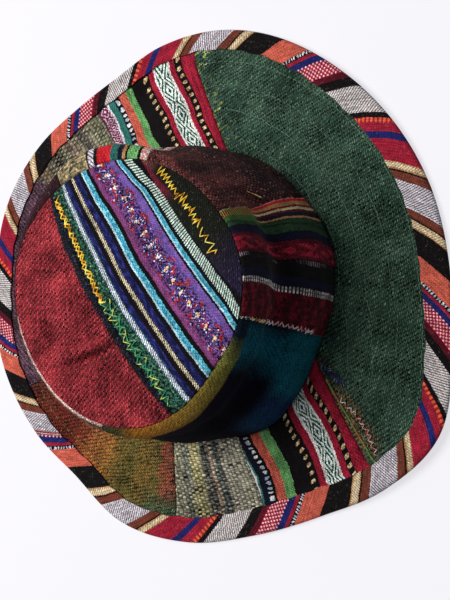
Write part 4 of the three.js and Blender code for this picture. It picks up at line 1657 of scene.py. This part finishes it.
cover("brim_tweed_front", "front tweed", tweed(COLUMNS_FRONT, DASHES_FRONT, 0.66),
      fleck_colour=(226, 222, 202), **TWEED_WEAVE)
cover("brim_tweed_back", "back tweed", tweed(COLUMNS_BACK, DASHES_BACK),
      fleck_colour=(196, 186, 168), **TWEED_WEAVE)

# %% [markdown]
# Yarn is twisted, and its dye is never even. The pieces of yarn have no map, so their material
# reads the place in the object, with one noise for the colour and a finer one for the fibres.

# %% Yarn materials
# Name, pieces, shades that the yarn wanders between
YARNS = [
    ("dark yarn", ["frayed_hairs"], [(14, 12, 20), (20, 20, 28), (30, 44, 60)]),
    ("gold yarn", ["yarn_gold_band", "yarn_gold_panel"], [(150, 90, 26), (222, 178, 44), (222, 216, 110)]),
    ("green yarn", ["yarn_green_band"], [(30, 112, 88), (70, 150, 96), (206, 206, 100)]),
    ("white yarn", ["yarn_white_side"], [(150, 84, 90), (186, 158, 158), (216, 208, 208)]),
    ("tan yarn", ["yarn_tan_side", "yarn_tan_brown"], [(118, 74, 44), (196, 152, 96), (226, 196, 140)]),
    ("red and white yarn", ["yarn_white_brim"], [(150, 30, 46), (196, 120, 120), (232, 222, 216)]),
    ("blue yarn", ["yarn_blue_brim"], [(24, 28, 60), (44, 60, 110), (96, 120, 130)]),
    ("olive yarn", ["yarn_green_brim"], [(52, 84, 40), (96, 132, 60), (140, 84, 52)]),
    ("pale green thread", ["stitch_rows_green"], [(66, 92, 78), (92, 118, 102)]),
    ("dark thread", ["stitch_rows_dark"], [(40, 28, 34), (84, 66, 74)]),
    ("brown thread", ["stitch_rows_dyed"], [(70, 60, 36), (120, 104, 64)]),
]
for name, names, shades in YARNS:
    shader = new_material(name, *names)
    place = node("TexCoord", output="Object")
    stops = [(i / (len(shades) - 1), shade) for i, shade in enumerate(shades)]
    feed(shader, {
        "Base Color": ramp(smooth(clouds(place, 240), 0.32, 0.68), stops),
        "Normal": bumped(clouds(place, 1600), 0.5, 0.2), "Roughness": 0.8, "Specular IOR Level": 0.2,
    })
print("yarns:", len(YARNS))

# %% Frayed cloth
def frayed():
    """Navy and black with blue and green flecks"""
    return ramp(clouds("cloth", 0.5), [
        (0.0, (22, 46, 40)), (0.36, (14, 14, 24)), (0.55, (24, 24, 30)), (0.62, (44, 56, 112)),
        (0.68, (60, 96, 84)),
    ], "CONSTANT")


cover("frayed_edge", "frayed edge", frayed, across=1.2, along=1.2, relief=0.9, gap=0.6, flecks=0.2)

# %% [markdown]
# The edge band is striped along a slant. Its map says how far round the edge and how far over the
# fold a point is, and the difference of the two is the place across the slanting stripes. The
# band is joined once, where the stripes jump, and it was stretched unevenly as it was sewn, so a
# short table says where each repeat of the stripes begins.

# %% Band stripes
# Millimetres round the edge where the white stripe has its middle, and the number of the repeat
BAND_REPEATS = [
    (0.0, 0.35), (127.0, 1.0), (337.6, 2.0), (424.0, 2.42), (424.2, 2.965), (431.4, 3.0),
    (607.6, 4.0), (799.2, 5.0), (1009.1, 6.0), (1077.3, 6.35),
]
BAND_STRIPES = [
    ("lilac", 0.055, "threads", 0.5, 12, 3.0), ("brown", 0.035), ("black", 0.01),
    ("tan", 0.035, "gilt", 0.5, 6, 3.0), ("black", 0.1), ("orange", 0.095),
    ("black", 0.02, "blocks", 0.5, 3, 3.4), ("crimson", 0.015), ("navy", 0.03),
    ("crimson", 0.075, "spots", 0.5, 14, 4.2), ("dark crimson", 0.03), ("black", 0.04),
    ("grey", 0.12, "threads", 0.5, 24, 3.0), ("black", 0.02), ("crimson", 0.03, "studs", 0.5, 4, 4.2),
    ("crimson", 0.035), ("navy", 0.03), ("crimson", 0.095), ("tan", 0.03, "gilt", 0.5, 5, 3.0),
    ("black", 0.01), ("brown", 0.035), ("lilac", 0.055, "threads", 0.5, 12, 3.0),
]
BAND_REPEAT = 190


def across_band():
    """The share of the way across one repeat of the slanting stripes, and places along them"""
    aslant, along = parts("stripe")
    most = BAND_REPEATS[-1][1]
    stops = [(at / BAND_AROUND, (number / most,) * 3 + (1,)) for at, number in BAND_REPEATS]
    repeat = ramp(sums("FRACT", aslant / BAND_AROUND), stops) * most
    return sums("FRACT", repeat), along


cover("brim_binding", "band stripes", striped(BAND_STRIPES, BAND_REPEAT, across_band, 3.0),
      across=1.2, along=1.2, relief=0.5, gap=0.45, uneven=0.4, flecks=0.1)

# %% [markdown]
# A sewn patch is cloth that was cut flat first, and here the size that each was cut at is
# printed. Each patch is stretched over the form and sewn down, and the edge band is a long strip,
# folded in two along its length.

# %% Flat sizes of the cloth
def longest(lines):
    """The length of the longest of the lines of points, in metres"""
    return float(np.linalg.norm(np.diff(lines, axis=1), axis=2).sum(axis=1).max()) * MM


for name, (place, _) in surfaces.items():
    if name == "frayed_edge":
        continue
    size = sorted((longest(place), longest(place.swapaxes(0, 1))))
    held = "folded" if name == "brim_binding" else "stretched"
    print(name, "cut from", round(size[0] / MM), "x", round(size[1] / MM), "mm")
